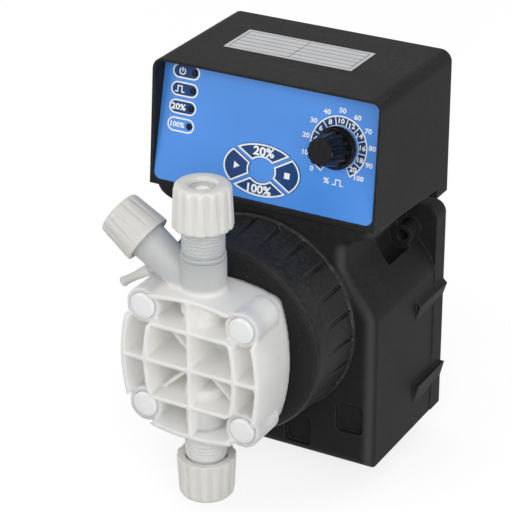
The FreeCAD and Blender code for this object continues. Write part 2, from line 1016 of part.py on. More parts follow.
def hub_back():
    return diaphragm_back() - hub_behind


def push_rod():
    """Shaft from the plunger, with a thinner end inside the diaphragm's hub."""
    start = plunger_front()
    step = hub_back() - 0.02
    tip = step + 5
    outline = [
        (0, start),
        (shaft_radius, start),
        (shaft_radius, step),
        (shaft_radius - 1, step),
        (shaft_radius - 1, tip),
        (0, tip),
    ]
    return facing(turned(outline), 0)


def return_spring():
    """Coil spring around the push rod, from the plunger to the floor of the pocket."""
    low = plunger_front() + spring_wire_radius + 0.05
    high = pole_back() + spring_pocket_depth - spring_wire_radius - 0.05
    helix = Part.makeHelix((high - low) / spring_turns, high - low, spring_radius)
    ring = Part.makeCircle(spring_wire_radius, Vector(spring_radius, 0, 0), Vector(0, 1, 0))
    wire = Part.Wire(helix.Edges).makePipeShell([Part.Wire(ring)], True, True)
    return facing(moved(wire, Vector(0, 0, low)), 0)


def backing_flange():
    """Disc that carries the rod's bush and backs the diaphragm."""
    collar_step = magnet_front - collar_front_wall
    hole = bush_radius + 0.03
    nose = diaphragm_radius
    hollow = diaphragm_hub_radius + 1.5
    outline = [
        (hole, yoke_front_depth),
        (flange_radius, yoke_front_depth),
        (flange_radius, collar_step - fit),
        (nose, collar_step - fit),
        (nose, diaphragm_back()),
        (hollow + 4, diaphragm_back()),
        (hollow, hub_back() - 0.6),
        (hole, hub_back() - 0.6),
    ]
    return facing(turned(outline), 0)


def rod_bush():
    """Plain bearing for the push rod."""
    front = hub_back() - 0.6
    back = yoke_front_depth + 0.2
    inner = shaft_radius + 0.05
    return facing(turned([(inner, back), (bush_radius, back), (bush_radius, front), (inner, front)]), 0)


def diaphragm():
    """Disc with a thick clamped rim, a thin bending web and a hub for the rod."""
    rear = diaphragm_back()
    front = magnet_front
    hub_front = front + hub_ahead
    bore = shaft_radius - 1 + 0.05
    web_edge = chamber_radius + 0.5
    outline = [
        (0, hub_back() + 5.3),
        (bore, hub_back() + 5.3),
        (bore, hub_back()),
        (diaphragm_hub_radius, hub_back()),
        (diaphragm_hub_radius, front - diaphragm_web),
        (web_edge, front - diaphragm_web),
        (web_edge + 0.8, rear),
        (diaphragm_radius, rear),
        (diaphragm_radius, front),
        (diaphragm_hub_radius + 1.5, front),
        (diaphragm_hub_radius - 1, hub_front),
        (0, hub_front),
    ]
    return facing(turned(outline), 0)


def head_screw_places():
    return corners_of(boss_offset)


def head_collar():
    """Drum that joins the pump head to the case, with slots around its back."""
    back = lower_depth
    front = magnet_front
    step = front - collar_front_wall
    bore = diaphragm_radius + diaphragm_seat_fit
    rim = collar_back_radius
    shoulder = rim - 0.8
    outline = [
        (collar_bore_radius, back),
        (rim, back),
        (rim, back + collar_band),
        (shoulder, back + collar_band + 0.6),
        (collar_front_radius, front - collar_front_round),
        (collar_front_radius - collar_front_round * 0.3, front - collar_front_round * 0.3),
        (collar_front_radius - collar_front_round, front),
        (bore, front),
        (bore, step),
        (collar_bore_radius, step),
    ]
    drum = turned(outline)
    posts = [rod_z(collar_boss_radius, x, v, yoke_front_depth, step + 1) for x, v in head_screw_places()]
    posts += [rod_z(collar_boss_radius, x, v, yoke_front_depth, step + 1) for x, v in yoke_screw_places()]
    inside = rod_z(collar_bore_radius + 1, 0, 0, 0, slab)
    drum = fused([drum] + [post.common(inside) for post in posts])
    for i in range(collar_slots):
        slot = box(
            -collar_slot_width / 2,
            collar_slot_width / 2,
            collar_slot_floor_radius,
            rim + 1,
            back + collar_band + 0.6,
            front,
        )
        turn = Rotation(Vector(0, 0, 1), 360 * i / collar_slots)
        drum = drum.cut(moved(slot, Vector(0, 0, 0), turn))
    for x, v in head_screw_places():
        drum = drum.cut(rod_z(head_screw_radius + 0.05, x, v, head_screw_tip() - 0.5, front + 1))
    for x, v in yoke_screw_places():
        tip = yoke_front_depth + yoke_screw_length - pole_plate_thickness
        drum = drum.cut(rod_z(yoke_screw_radius + 0.05, x, v, yoke_front_depth - 1, tip + 0.3))
    reach = collar_screw_circle / math.sqrt(2)
    for x, v in corners_of(reach):
        drum = drum.cut(rod_z(collar_screw_radius + 0.05, x, v, back - 1, back + collar_screw_grip + 0.5))
    return facing(drum, 0)


def pan_screw(radius, length, head_radius, head_height):
    """Screw along local Z with the underside of its head at zero and its tip above."""
    head = turned(
        [
            (0, -head_height),
            (head_radius * 0.7, -head_height),
            (head_radius, -head_height * 0.5),
            (head_radius, 0),
            (0, 0),
        ]
    )
    recess = hexagon(head_radius, head_height * 0.5, -head_height - 0.1)
    return head.fuse(rod_z(radius, 0, 0, 0, length)).cut(recess)


def yoke_screws():
    """Screws through the pole plate into the collar."""
    screws = []
    for x, v in yoke_screw_places():
        screw = pan_screw(yoke_screw_radius, yoke_screw_length, yoke_screw_radius * 1.8, 2.6)
        screws.append(facing(moved(screw, Vector(x, v, yoke_front_depth - pole_plate_thickness)), 0))
    return solids(screws)


def collar_screws():
    """Screws from inside the case into the back of the collar."""
    reach = collar_screw_circle / math.sqrt(2)
    screws = []
    for x, v in corners_of(reach):
        length = lower_wall + collar_screw_grip
        screw = pan_screw(collar_screw_radius, length, collar_screw_radius * 1.9, 2.2)
        screws.append(facing(moved(screw, Vector(x, v, lower_depth - lower_wall)), 0))
    return solids(screws)


def bowed_square(half, corner, offset):
    """Face of a square whose bowed sides run smoothly into round corners."""
    gap = half - offset
    bow = (gap**2 + offset**2 - corner**2) / (2 * (gap - corner))
    reach = math.hypot(offset - half + bow, offset)
    far = half - bow + bow * (offset - half + bow) / reach
    near = bow * offset / reach
    bend = offset + corner / math.sqrt(2)
    edges = []
    for i in range(4):
        turn = Rotation(Vector(0, 0, 1), 90 * i)
        points = [(far, -near), (half, 0), (far, near), (bend, bend), (near, far)]
        a, b, c, d, e = [turn.multVec(Vector(x, y, 0)) for x, y in points]
        edges.append(Part.Arc(a, b, c).toShape())
        edges.append(Part.Arc(c, d, e).toShape())
    return Part.Face(Part.Wire(edges))


def head_block(inset, low, high):
    face = bowed_square(head_half - inset, head_corner_radius - inset, head_corner_offset)
    return moved(face, Vector(0, 0, low)).extrude(Vector(0, 0, high - low))


def head_ribs(low, high):
    """Ribs that stay between the cells of the head's open front."""
    half = head_rib / 2
    far = head_half
    ribs = [box(-half, half, -far, far, low, high), box(-far, far, -half, half, low, high)]
    span = head_rib_x
    for side in (-1, 1):
        centre = side * head_rib_z
        ribs.append(box(-span, span, centre - half, centre + half, low, high))
        sweep = (head_rib_z**2 + head_rib_bow**2) / (2 * head_rib_bow)
        middle = side * (head_rib_x + head_rib_bow - sweep)
        ring = rod_z(sweep + half, middle, 0, low, high)
        ring = ring.cut(rod_z(sweep - half, middle, 0, low - 1, high + 1))
        ribs.append(ring.common(box(-far, far, -boss_offset, boss_offset, low, high)))
    return ribs


def valve_tube(side, grow):
    """Upright tube from the edge of the head to the middle cells."""
    depth = valve_depth
    low, high = sorted([side * valve_tube_reach, side * (head_half - 1)])
    return rod(valve_tube_radius + grow, Vector(0, low, depth), Vector(0, high, depth))


def slanted_webs(low):
    """Thin webs that brace the ends of the valve tubes to the middle of the head."""
    webs = []
    for side_x in (-1, 1):
        for side_v in (-1, 1):
            start = Vector(0, 0, low)
            corner = Vector(side_x * head_rib_x, side_v * head_rib_z, low)
            across = Vector(-corner.y, corner.x, 0).normalize() * web_thickness
            rise = Vector(0, 0, cell_depth * 0.55)
            web = prism(
                [start + across * 0.5, corner + across * 0.5, start + across * 0.5 + rise],
                across * -1,
            )
            webs.append(web)
    return webs


def head_cells():
    """The space of all the cells."""
    low = head_front - cell_depth
    high = head_front + 1
    space = head_block(head_rim_wall, low, high)
    keep = head_ribs(low - 1, high + 1)
    keep += [rod_z(boss_radius, x, v, low - 1, high + 1) for x, v in head_screw_places()]
    keep += [valve_tube(side, 0) for side in (-1, 1)]
    keep += slanted_webs(low - 0.01)
    for part in keep:
        space = space.cut(part)
    return space


def bleed_point(along, out=0.0):
    """Point in the head's own frame on the bleed axis, or to its lower side."""
    lean = math.radians(bleed_lean)
    axis = Vector(-math.sin(lean), math.cos(lean), 0)
    side = Vector(-math.cos(lean), -math.sin(lean), 0)
    return Vector(0, bleed_root_rise, valve_depth) + axis * along + side * out


def bleed_axis():
    lean = math.radians(bleed_lean)
    return Vector(-math.sin(lean), math.cos(lean), 0)


def nipple_axis():
    lean = math.radians(nipple_lean)
    side = bleed_point(0, 1) - bleed_point(0, 0)
    return side * math.cos(lean) + bleed_axis() * math.sin(lean)


def pump_head():
    """Moulded head: ribbed block, discharge column and bleed branch, with its passages."""
    shoulder = magnet_front + head_step
    block = head_block(0, shoulder, head_front)
    block = block.fuse(head_block(head_step_inset, magnet_front, shoulder))
    block = block.cut(head_cells())
    for x, v in head_screw_places():
        step = rod_z(boss_radius + 0.1, x, v, cap_plane, head_front + 1)
        block = block.cut(step)
        block = block.fuse(rod_z(boss_radius, x, v, head_front - cell_depth, cap_plane))
    column_foot = Vector(0, valve_tube_reach + 12, valve_depth)
    column = rod(valve_column_radius, column_foot, Vector(0, discharge_step, valve_depth))
    neck = Part.makeCone(
        bleed_neck_small_radius,
        bleed_neck_radius,
        bleed_neck_end - bleed_neck_start,
        bleed_point(bleed_neck_start),
        bleed_axis(),
    )
    head = fused([block, column, neck])
    for cut in head_passages():
        head = head.cut(cut)
    return facing(head, 0)


def head_passages():
    """Chamber, screw holes, valve sockets and drillings, in the head's own frame."""
    front = magnet_front
    floor = front + chamber_depth
    chamber = [
        (0, front - 1),
        (chamber_radius, front - 1),
        (chamber_radius, front),
        (chamber_floor_radius, floor),
        (0, floor),
    ]
    cuts = [turned(chamber)]
    for x, v in head_screw_places():
        seat = cap_plane - cap_socket_depth
        cuts.append(rod_z(head_screw_radius + 0.2, x, v, front - 1, head_front))
        cuts.append(rod_z(cap_radius + fit, x, v, seat, head_front))
    column_top = Vector(0, discharge_step, valve_depth)
    bottom = Vector(0, -suction_step, valve_depth)
    for mouth, way in ((column_top, -1), (bottom, 1)):
        inward = Vector(0, way, 0)
        floor_point = mouth + inward * valve_stub_length
        cuts.append(rod(valve_stub_radius + fit, mouth - inward * 3, floor_point))
        cuts.append(rod(valve_seal_radius + fit, mouth - inward * 3, mouth + inward * valve_seal_height))
        turn_point = Vector(0, -way * (valve_tube_reach + 6), valve_depth)
        cuts.append(rod(passage_radius, mouth, turn_point))
        cuts.append(rod(passage_radius - 0.5, turn_point, Vector(0, -way * 6, front)))
    cuts.append(rod(valve_column_radius + 0.6, bottom, bottom - Vector(0, 4, 0)))
    mouth = bleed_point(bleed_neck_end + 1)
    stem_floor = bleed_point(bleed_neck_end - bleed_stem_length - 0.4)
    cuts.append(rod(needle_radius + fit, bleed_point(bleed_seat), mouth))
    cuts.append(rod(bleed_stem_radius + fit, stem_floor, mouth))
    cuts.append(rod(bleed_drill_radius, bleed_point(0), bleed_point(bleed_seat + 1)))
    cuts.append(rod(nipple_radius + 0.05, nipple_point(0), nipple_point(12)))
    cuts.append(bleed_seal_ring(fit))
    return cuts


def nipple_point(along):
    return bleed_point(nipple_at) + nipple_axis() * along


def bleed_nipple():
    """Thin spout on the side of the bleed branch, a little wider at its end."""
    start = nipple_point(needle_radius + 1)
    end = nipple_point(nipple_length)
    spout = rod(nipple_radius, start, end)
    root = nipple_point(nipple_taper_start)
    taper = Part.makeCone(nipple_root_radius, nipple_radius, nipple_taper_length, root, nipple_axis())
    spout = spout.fuse(taper)
    lip = Part.makeCone(nipple_radius, nipple_radius + 0.35, 2.5, end, nipple_axis())
    bore = rod(nipple_bore_radius, nipple_point(0), nipple_point(nipple_length + 5))
    return facing(spout.fuse(lip).cut(bore), 0)


def bleed_seal_ring(grow):
    low = bleed_neck_end - bleed_stem_length - 0.4 - bleed_seal_height
    start = bleed_point(low)
    end = bleed_point(low + bleed_seal_height + (0.3 if grow > 0 else -0.1))
    ring = rod(needle_radius + 1.6 + grow, start, end)
    if grow > 0:
        return ring
    return ring.cut(rod(needle_radius + 0.05, start - bleed_axis(), end + bleed_axis()))


def bleed_needle():
    """Pointed spindle that closes the drilling."""
    tip = bleed_point(bleed_seat - 1.2)
    shoulder = bleed_point(bleed_seat + 2.4)
    end = bleed_point(bleed_neck_end + needle_grip)
    cone = Part.makeCone(bleed_drill_radius * 0.5, needle_radius, 3.6, tip, bleed_axis())
    cone = cone.common(rod(needle_radius, bleed_point(bleed_seat + 0.2), end))
    return facing(cone.fuse(rod(needle_radius, shoulder, end)), 0)


def bleed_knob():
    """Ribbed cap with a stem in the branch and a skirt around its end."""
    start = bleed_neck_end - knob_overlap
    end = start + bleed_knob_length
    wide = bleed_knob_radius
    narrow = bleed_knob_radius - 1.3
    outline = [
        (needle_radius + 0.05, bleed_neck_end - bleed_stem_length),
        (bleed_stem_radius, bleed_neck_end - bleed_stem_length),
        (bleed_stem_radius, bleed_neck_end + 0.3),
        (bleed_neck_radius + 0.7, bleed_neck_end + 0.3),
        (bleed_neck_radius + 0.7, start),
        (wide, start),
        (wide, start + 2),
        (narrow, end - 2.4),
        (narrow - 0.4, end - 1.2),
        (narrow - 1.2, end - 0.4),
        (narrow - 2.4, end),
        (0, end),
        (0, bleed_neck_end + needle_grip + 0.05),
        (needle_radius + 0.05, bleed_neck_end + needle_grip + 0.05),
    ]
    knob = turned(outline)
    for i in range(bleed_knob_ribs):
        turn = 2 * math.pi * i / bleed_knob_ribs
        aim = Vector(math.cos(turn), math.sin(turn), 0)
        low = aim * (wide + nut_flute_radius - 0.3) + Vector(0, 0, start - 1)
        high = aim * (narrow + nut_flute_radius - 1.5) + Vector(0, 0, end + 1)
        knob = knob.cut(rod(nut_flute_radius * 0.8, low, high))
    place = Rotation(Vector(0, 0, 1), bleed_axis())
    return facing(moved(knob, bleed_point(0), place), 0)


def head_screw_seat():
    return cap_plane - cap_socket_depth


def head_screw_tip():
    return magnet_front - head_screw_grip


def head_screws():
    """Long screws through the head into the collar."""
    screws = []
    for x, v in head_screw_places():
        length = head_screw_seat() - head_screw_tip()
        screw = pan_screw(head_screw_radius, length, head_screw_head_radius, head_screw_head)
        turned_round = moved(screw, Vector(x, v, head_screw_seat()), Rotation(Vector(1, 0, 0), 180))
        screws.append(facing(turned_round, 0))
    return solids(screws)


def screw_caps():
    """Domed plugs over the head screws."""
    caps = []
    low = head_screw_seat() + head_screw_head + 0.2
    for x, v in head_screw_places():
        cap = turned(
            [
                (0, low),
                (cap_radius, low),
                (cap_radius, cap_plane + cap_dome * 0.4),
                (cap_radius * 0.8, cap_plane + cap_dome),
                (0, cap_plane + cap_dome * 1.3),
            ]
        )
        caps.append(facing(moved(cap, Vector(x, v, 0)), 0))
    return solids(caps)


def at_valve(shape, lower):
    """Local Z leaves the head at the discharge column or under the suction mouth."""
    if lower:
        return on_valve_axis(shape, -suction_step, True)
    return on_valve_axis(shape, discharge_step)


def chamber_length():
    return seat_height + ball_rest() + ball_radius + ball_lift


def ball_rest():
    """Height of the ball's centre over its seat, with a film of clearance."""
    return math.sqrt(ball_radius**2 - seat_bore_radius**2) + 0.05


def valve_body(lower):
    """Screwed cartridge: stub in the head, flange and thread, bored for its ball."""
    thread_start = valve_flange_height + 1.0
    rings = int((nut_foot + 1 - thread_start) / thread_pitch)
    outline = [
        (0, -valve_stub_length),
        (valve_stub_radius, -valve_stub_length),
        (valve_stub_radius, 0),
        (valve_flange_radius, 0),
        (valve_flange_radius, valve_flange_height),
        (thread_radius - thread_depth, valve_flange_height),
    ]
    for i in range(rings):
        foot = thread_start + i * thread_pitch
        outline.append((thread_radius - thread_depth, foot))
        outline.append((thread_radius, foot + thread_pitch / 2))
    end = thread_start + rings * thread_pitch
    outline += [
        (thread_radius - thread_depth, end),
        (thread_radius - thread_depth, valve_body_length),
        (0, valve_body_length),
    ]
    body = turned(outline)
    ledge = chamber_length() - valve_stub_length
    body = body.cut(rod_z(ball_bore_radius, 0, 0, -valve_stub_length - 1, ledge))
    body = body.cut(rod_z(passage_radius, 0, 0, 0, valve_body_length + 1))
    return at_valve(body, lower)


def seat_place(lower):
    """Rise of the seat's foot over the pump axis."""
    if lower:
        return -suction_step - chamber_length() + valve_stub_length
    return discharge_step - valve_stub_length


def valve_seat(lower):
    outer = ball_bore_radius - fit
    ring = turned(
        [
            (seat_bore_radius - 0.6, 0),
            (outer, 0),
            (outer, seat_height),
            (seat_bore_radius, seat_height),
            (seat_bore_radius - 0.6, seat_height - 1.2),
        ]
    )
    return on_valve_axis(ring, seat_place(lower))


def valve_ball(lower):
    ball = Part.makeSphere(ball_radius)
    return on_valve_axis(ball, seat_place(lower) + seat_height + ball_rest())


def hose_cone(lower):
    """Flanged nozzle that the hose is pushed over."""
    foot = valve_body_length
    outline = [
        (hose_bore_radius, foot),
        (clamp_outer_radius + 0.2, foot),
        (clamp_outer_radius + 0.2, foot + 2),
        (hose_cone_radius, foot + 2),
        (hose_cone_radius, foot + 4),
        (hose_cone_tip_radius, foot + hose_cone_length),
        (hose_bore_radius, foot + hose_cone_length),
    ]
    return at_valve(turned(outline), lower)


def nut_ceiling():
    return nut_foot + nut_height - nut_wall_top


def clamp_ring(lower):
    """Ring inside the nut that grips the hose."""
    top = nut_ceiling() - 0.02
    low = top - clamp_height
    outline = [
        (hose_radius + 0.05, low + 1),
        (hose_radius + 0.9, low),
        (clamp_outer_radius, low),
        (clamp_outer_radius, top),
        (hose_radius + 0.05, top),
    ]
    return at_valve(turned(outline), lower)


def union_nut(lower):
    """Tapered nut with flutes that deepen towards its hose end."""
    foot = nut_foot
    top = foot + nut_height
    bore = thread_radius + nut_thread_fit
    outline = [
        (bore, foot),
        (nut_wide_radius, foot),
        (nut_wide_radius, foot + 1.5),
        (nut_narrow_radius + 0.1, top - nut_crown),
        (nut_narrow_radius - 0.3, top - nut_crown * 0.5),
        (nut_narrow_radius - nut_crown * 0.45, top - nut_crown * 0.15),
        (nut_narrow_radius - nut_crown, top),
        (hose_radius + 1.6, top),
        (hose_radius + 0.2, top - 1.0),
        (hose_radius + 0.2, nut_ceiling()),
        (bore, nut_ceiling()),
    ]
    nut = turned(outline)
    for i in range(nut_flutes):
        turn = 2 * math.pi * i / nut_flutes
        aim = Vector(math.cos(turn), math.sin(turn), 0)
        low = aim * (nut_wide_radius + nut_flute_radius - 0.5) + Vector(0, 0, foot - 1)
        high = aim * (nut_narrow_radius + nut_flute_radius - 1.4) + Vector(0, 0, top + 1)
        nut = nut.cut(rod(nut_flute_radius, low, high))
    return at_valve(nut, lower)


def valve_seals():
    """Flat rings under the valve flanges and the ring around the bleed needle."""
    ring = turned(
        [
            (valve_stub_radius + 0.15, -valve_seal_height),
            (valve_seal_radius, -valve_seal_height),
            (valve_seal_radius, 0),
            (valve_stub_radius + 0.15, 0),
        ]
    )
    return solids([at_valve(ring, False), at_valve(ring, True), facing(bleed_seal_ring(0), 0)])


def cable_gland():
    """Hollow gland body: thread through the case floor, flange and outer thread."""
    body = rod_z(gland_thread_radius, 0, 0, -gland_hex_height - 6, lower_wall + 6)
    flange = hexagon(gland_hex_across, gland_hex_height, -gland_hex_height)
    bore = rod_z(cable_hole_radius, 0, 0, -50, 50)
    return moved(body.fuse(flange).cut(bore), Vector(gland_x, -entry_depth, 0))


def gland_nut():
    """Domed nut that closes the gland onto a cable."""
    top = -gland_hex_height - 0.3
    low = top - gland_nut_height
    bore = gland_thread_radius + 0.06
    shoulder = gland_hex_across / 2
    nut = hexagon(gland_hex_across - 1, gland_nut_height, low)
    outline = [
        (0, low),
        (shoulder * 0.75, low),
        (shoulder * 1.2, low + 4),
        (shoulder * 1.2, top),
        (0, top),
    ]
    nut = nut.common(turned(outline))
    nut = nut.cut(rod_z(bore, 0, 0, -gland_hex_height - 6.3, top + 1))
    nut = nut.cut(rod_z(cable_hole_radius, 0, 0, low - 1, top))
    return moved(nut, Vector(gland_x, -entry_depth, 0))


def gland_locknut():
    bore = gland_thread_radius + 0.06
    nut = hexagon(gland_hex_across, 3.5, lower_wall)
    return moved(nut.cut(rod_z(bore, 0, 0, 0, 20)), Vector(gland_x, -entry_depth, 0))


def level_socket():
    """Round socket for a level probe, in the case floor."""
    outline = [
        (0, -socket_drop + 6),
        (socket_bore_radius, -socket_drop + 6),
        (socket_bore_radius, -socket_drop),
        (socket_radius, -socket_drop),
        (socket_radius, 0),
        (socket_radius - 1.5, 0),
        (socket_radius - 1.5, lower_wall + 4),
        (0, lower_wall + 4),
    ]
    return moved(turned(outline), Vector(socket_x, -entry_depth, 0))


def nodes():
    """Every piece of the pump under its own name."""
    pieces = {
        "lower_case": lower_case(),
        "control_case": control_case(),
        "case_gasket": case_gasket(),
        "case_screws": case_screws(),
        "rating_label": rating_label(),
        "panel_plate": panel_plate(),
        "front_overlay": front_overlay(),
        "led_lenses": led_lenses(),
        "circuit_board": circuit_board(),
        "board_screws": board_screws(),
        "terminal_block": terminal_block(),
        "capacitor": capacitor(),
        "potentiometer": potentiometer(),
        "potentiometer_nut": potentiometer_nut(),
        "potentiometer_shaft": potentiometer_shaft(),
        "control_knob": control_knob(),
        "yoke": yoke(),
        "pole_plate": pole_plate(),
        "pole_core": pole_core(),
        "coil_bobbin": coil_bobbin(),
        "coil_winding": coil_winding(),
        "guide_tube": guide_tube(),
        "stop_bumper": stop_bumper(),
        "plunger": plunger(),
        "push_rod": push_rod(),
        "return_spring": return_spring(),
        "rod_bush": rod_bush(),
        "backing_flange": backing_flange(),
        "diaphragm": diaphragm(),
        "head_collar": head_collar(),
        "yoke_screws": yoke_screws(),
        "collar_screws": collar_screws(),
        "pump_head": pump_head(),
        "head_screws": head_screws(),
        "screw_caps": screw_caps(),
        "valve_seals": valve_seals(),
        "bleed_nipple": bleed_nipple(),
        "bleed_needle": bleed_needle(),
        "bleed_knob": bleed_knob(),
        "cable_gland": cable_gland(),
        "gland_nut": gland_nut(),
        "gland_locknut": gland_locknut(),
        "level_socket": level_socket(),
    }
    for index, name in enumerate(("key_right", "key_top", "key_left", "key_bottom")):
        pieces[name] = key(index)
    for name, lower in (("discharge", False), ("suction", True)):
        pieces[name + "_valve_body"] = valve_body(lower)
        pieces[name + "_seat"] = valve_seat(lower)
        pieces[name + "_ball"] = valve_ball(lower)
        pieces[name + "_hose_cone"] = hose_cone(lower)
        pieces[name + "_clamp_ring"] = clamp_ring(lower)
        pieces[name + "_nut"] = union_nut(lower)
    return pieces


def main():
    os.makedirs("parts", exist_ok=True)
    for name, shape in nodes().items():
        placed = moved(shape, Vector(0, 0, -wall_screw_height))
        placed.exportStep(os.path.join("parts", name + ".step"))


main()
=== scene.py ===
"""Finishes, printing and soft edges of a diaphragm metering pump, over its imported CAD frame."""

import json
import math

import bmesh
import bpy
import numpy as np
from bpy.props import FloatProperty, FloatVectorProperty, PointerProperty
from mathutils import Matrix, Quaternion, Vector

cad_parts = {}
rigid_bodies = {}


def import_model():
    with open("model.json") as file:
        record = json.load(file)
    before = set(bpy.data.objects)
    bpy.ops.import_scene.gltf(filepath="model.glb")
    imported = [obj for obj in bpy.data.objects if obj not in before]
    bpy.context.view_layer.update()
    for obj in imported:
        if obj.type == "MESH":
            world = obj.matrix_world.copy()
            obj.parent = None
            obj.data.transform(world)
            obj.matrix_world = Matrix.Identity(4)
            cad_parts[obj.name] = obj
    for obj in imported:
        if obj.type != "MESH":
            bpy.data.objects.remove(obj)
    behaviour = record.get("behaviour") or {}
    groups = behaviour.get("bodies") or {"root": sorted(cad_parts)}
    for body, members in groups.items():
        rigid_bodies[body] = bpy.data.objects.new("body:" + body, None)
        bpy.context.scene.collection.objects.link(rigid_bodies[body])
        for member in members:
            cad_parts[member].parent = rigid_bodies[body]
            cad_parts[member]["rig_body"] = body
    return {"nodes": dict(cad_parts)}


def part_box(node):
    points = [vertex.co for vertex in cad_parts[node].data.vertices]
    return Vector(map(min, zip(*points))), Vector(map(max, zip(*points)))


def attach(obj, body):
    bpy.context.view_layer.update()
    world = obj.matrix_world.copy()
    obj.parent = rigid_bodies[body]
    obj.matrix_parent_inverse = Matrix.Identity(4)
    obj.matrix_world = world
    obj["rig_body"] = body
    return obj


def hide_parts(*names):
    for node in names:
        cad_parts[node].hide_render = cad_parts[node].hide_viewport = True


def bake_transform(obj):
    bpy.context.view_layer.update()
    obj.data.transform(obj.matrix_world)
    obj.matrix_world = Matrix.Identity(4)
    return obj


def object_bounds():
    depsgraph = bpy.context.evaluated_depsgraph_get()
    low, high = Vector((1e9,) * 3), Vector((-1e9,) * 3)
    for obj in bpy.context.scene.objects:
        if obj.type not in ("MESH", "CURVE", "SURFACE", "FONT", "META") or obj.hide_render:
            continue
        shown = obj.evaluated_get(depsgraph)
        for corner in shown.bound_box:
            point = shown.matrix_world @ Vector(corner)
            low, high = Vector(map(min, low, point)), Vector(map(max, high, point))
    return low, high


bl_info = {
    "name": "Metering pump finishes",
    "version": (1, 0, 0),
    "blender": (4, 5, 0),
    "location": "View3D > Sidebar > Pump",
    "description": "Dresses the metering pump's frame with its finishes, printing and stage",
    "category": "Object",
}

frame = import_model()
NODES = frame["nodes"]
CAD_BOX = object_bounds()
MM = 0.001
AXIS_HEIGHT = -28.0 * MM
KEY_RING_OUTSIDE = (21.2 * MM, 13.0 * MM)
KEY_RING_INSIDE = (7.3 * MM, 6.3 * MM)
KEY_HALF_GAP = 0.9 * MM
KEY_SPLIT_ANGLE = math.radians(30)
CAPITAL_SHARE = 0.7


# Settings that a user would change
class PumpPanelSizes(bpy.types.PropertyGroup):
    """Where the control panel lies and how its printing is drawn."""

    foot_depth: FloatProperty(
        name="Foot depth", description="How far the panel's foot stands before the wall", default=0.0836,
        unit="LENGTH",
    )
    foot_height: FloatProperty(
        name="Foot height", description="Height of the panel's foot over the frame's origin", default=0.0325,
        unit="LENGTH",
    )
    tilt: FloatProperty(
        name="Tilt", description="How far the panel leans back", default=math.radians(14), subtype="ANGLE"
    )
    ink: FloatProperty(name="Ink", description="Thickness of one printed layer", default=0.00003, unit="LENGTH")
    lamp_x: FloatProperty(name="Lamp place", description="Lamps, across the panel", default=-0.0438, unit="LENGTH")
    lamp_foot: FloatProperty(
        name="Lowest lamp", description="Lowest lamp, up the panel", default=0.0291, unit="LENGTH"
    )
    lamp_pitch: FloatProperty(name="Lamp pitch", description="Step from lamp to lamp", default=0.00893, unit="LENGTH")
    dial_x: FloatProperty(name="Dial place", description="Dial, across the panel", default=0.0384, unit="LENGTH")
    dial_v: FloatProperty(name="Dial height", description="Dial, up the panel", default=0.0347, unit="LENGTH")
    dial_inner: FloatProperty(
        name="Dial inside", description="Inner radius of the printed ring", default=0.0107, unit="LENGTH"
    )
    dial_outer: FloatProperty(
        name="Dial outside", description="Outer radius of the printed ring", default=0.0150, unit="LENGTH"
    )
    keys_x: FloatProperty(
        name="Keys place", description="Ring of keys, across the panel", default=-0.0009, unit="LENGTH"
    )
    keys_v: FloatProperty(name="Keys height", description="Ring of keys, up the panel", default=0.0156, unit="LENGTH")
    key_top: FloatProperty(
        name="Key top", description="Height of a key over the panel", default=0.0006, unit="LENGTH"
    )
    key_border: FloatProperty(
        name="Key border", description="Width of the printed line round a key", default=0.00085, unit="LENGTH"
    )


class PumpColours(bpy.types.PropertyGroup):
    """Colours of the finishes."""

    case: FloatVectorProperty(
        name="Case", description="Black moulded housing", default=(0.0196, 0.0198, 0.0207), subtype="COLOR"
    )
    collar: FloatVectorProperty(
        name="Collar", description="Black drum behind the head", default=(0.0185, 0.0187, 0.0196), subtype="COLOR"
    )
    overlay: FloatVectorProperty(
        name="Overlay", description="Blue sheet of the panel", default=(0.070, 0.280, 0.79), subtype="COLOR"
    )
    navy: FloatVectorProperty(
        name="Navy", description="Dark blue printing and keys", default=(0.014, 0.056, 0.180), subtype="COLOR"
    )
    print_white: FloatVectorProperty(
        name="White print", description="White printing", default=(0.88, 0.91, 0.94), subtype="COLOR"
    )
    head: FloatVectorProperty(
        name="Head", description="Milky pump head", default=(0.875, 0.862, 0.832), subtype="COLOR"
    )
    nut: FloatVectorProperty(
        name="Nuts", description="White hose nuts and bleed knob", default=(0.80, 0.785, 0.75), subtype="COLOR"
    )
    cap: FloatVectorProperty(
        name="Caps", description="White caps over the head screws", default=(0.84, 0.845, 0.85), subtype="COLOR"
    )
    foil: FloatVectorProperty(
        name="Foil", description="Bare foil label", default=(0.60, 0.605, 0.62), subtype="COLOR"
    )


class PumpStage(bpy.types.PropertyGroup):
    """Light, floor and camera."""

    sky: FloatProperty(name="Sky", description="Level of the even light from all round", default=0.52, min=0, max=2)
    lamps: FloatProperty(name="Lamps", description="Strength of the soft lamps", default=1.0, min=0, max=4)
    eye: FloatVectorProperty(
        name="Eye", description="Where the camera stands", default=(0.46661, -0.92134, 0.47409), subtype="TRANSLATION"
    )
    target: FloatVectorProperty(
        name="Target", description="Where the camera looks", default=(0.0, -0.05, 0.0005), subtype="TRANSLATION"
    )
    roll: FloatProperty(
        name="Roll", description="Turn of the camera about its line of sight", default=math.radians(0.26),
        subtype="ANGLE",
    )
    lens: FloatProperty(name="Lens", description="Focal length", default=0.1518, unit="CAMERA", min=0.001)
    shift: FloatVectorProperty(
        name="Shift", description="Shift of the picture across and up", size=2, default=(-0.0703, -0.0416)
    )


def placed(name, data):
    """New object for a mesh, a curve, a light or a camera, at the origin of the scene."""
    made = bpy.data.objects.new(name, data)
    bpy.context.scene.collection.objects.link(made)
    return made


def mesh_of(name, points, faces):
    """New mesh from points and faces."""
    mesh = bpy.data.meshes.new(name)
    mesh.from_pydata(np.asarray(points).tolist(), [], faces)
    return mesh


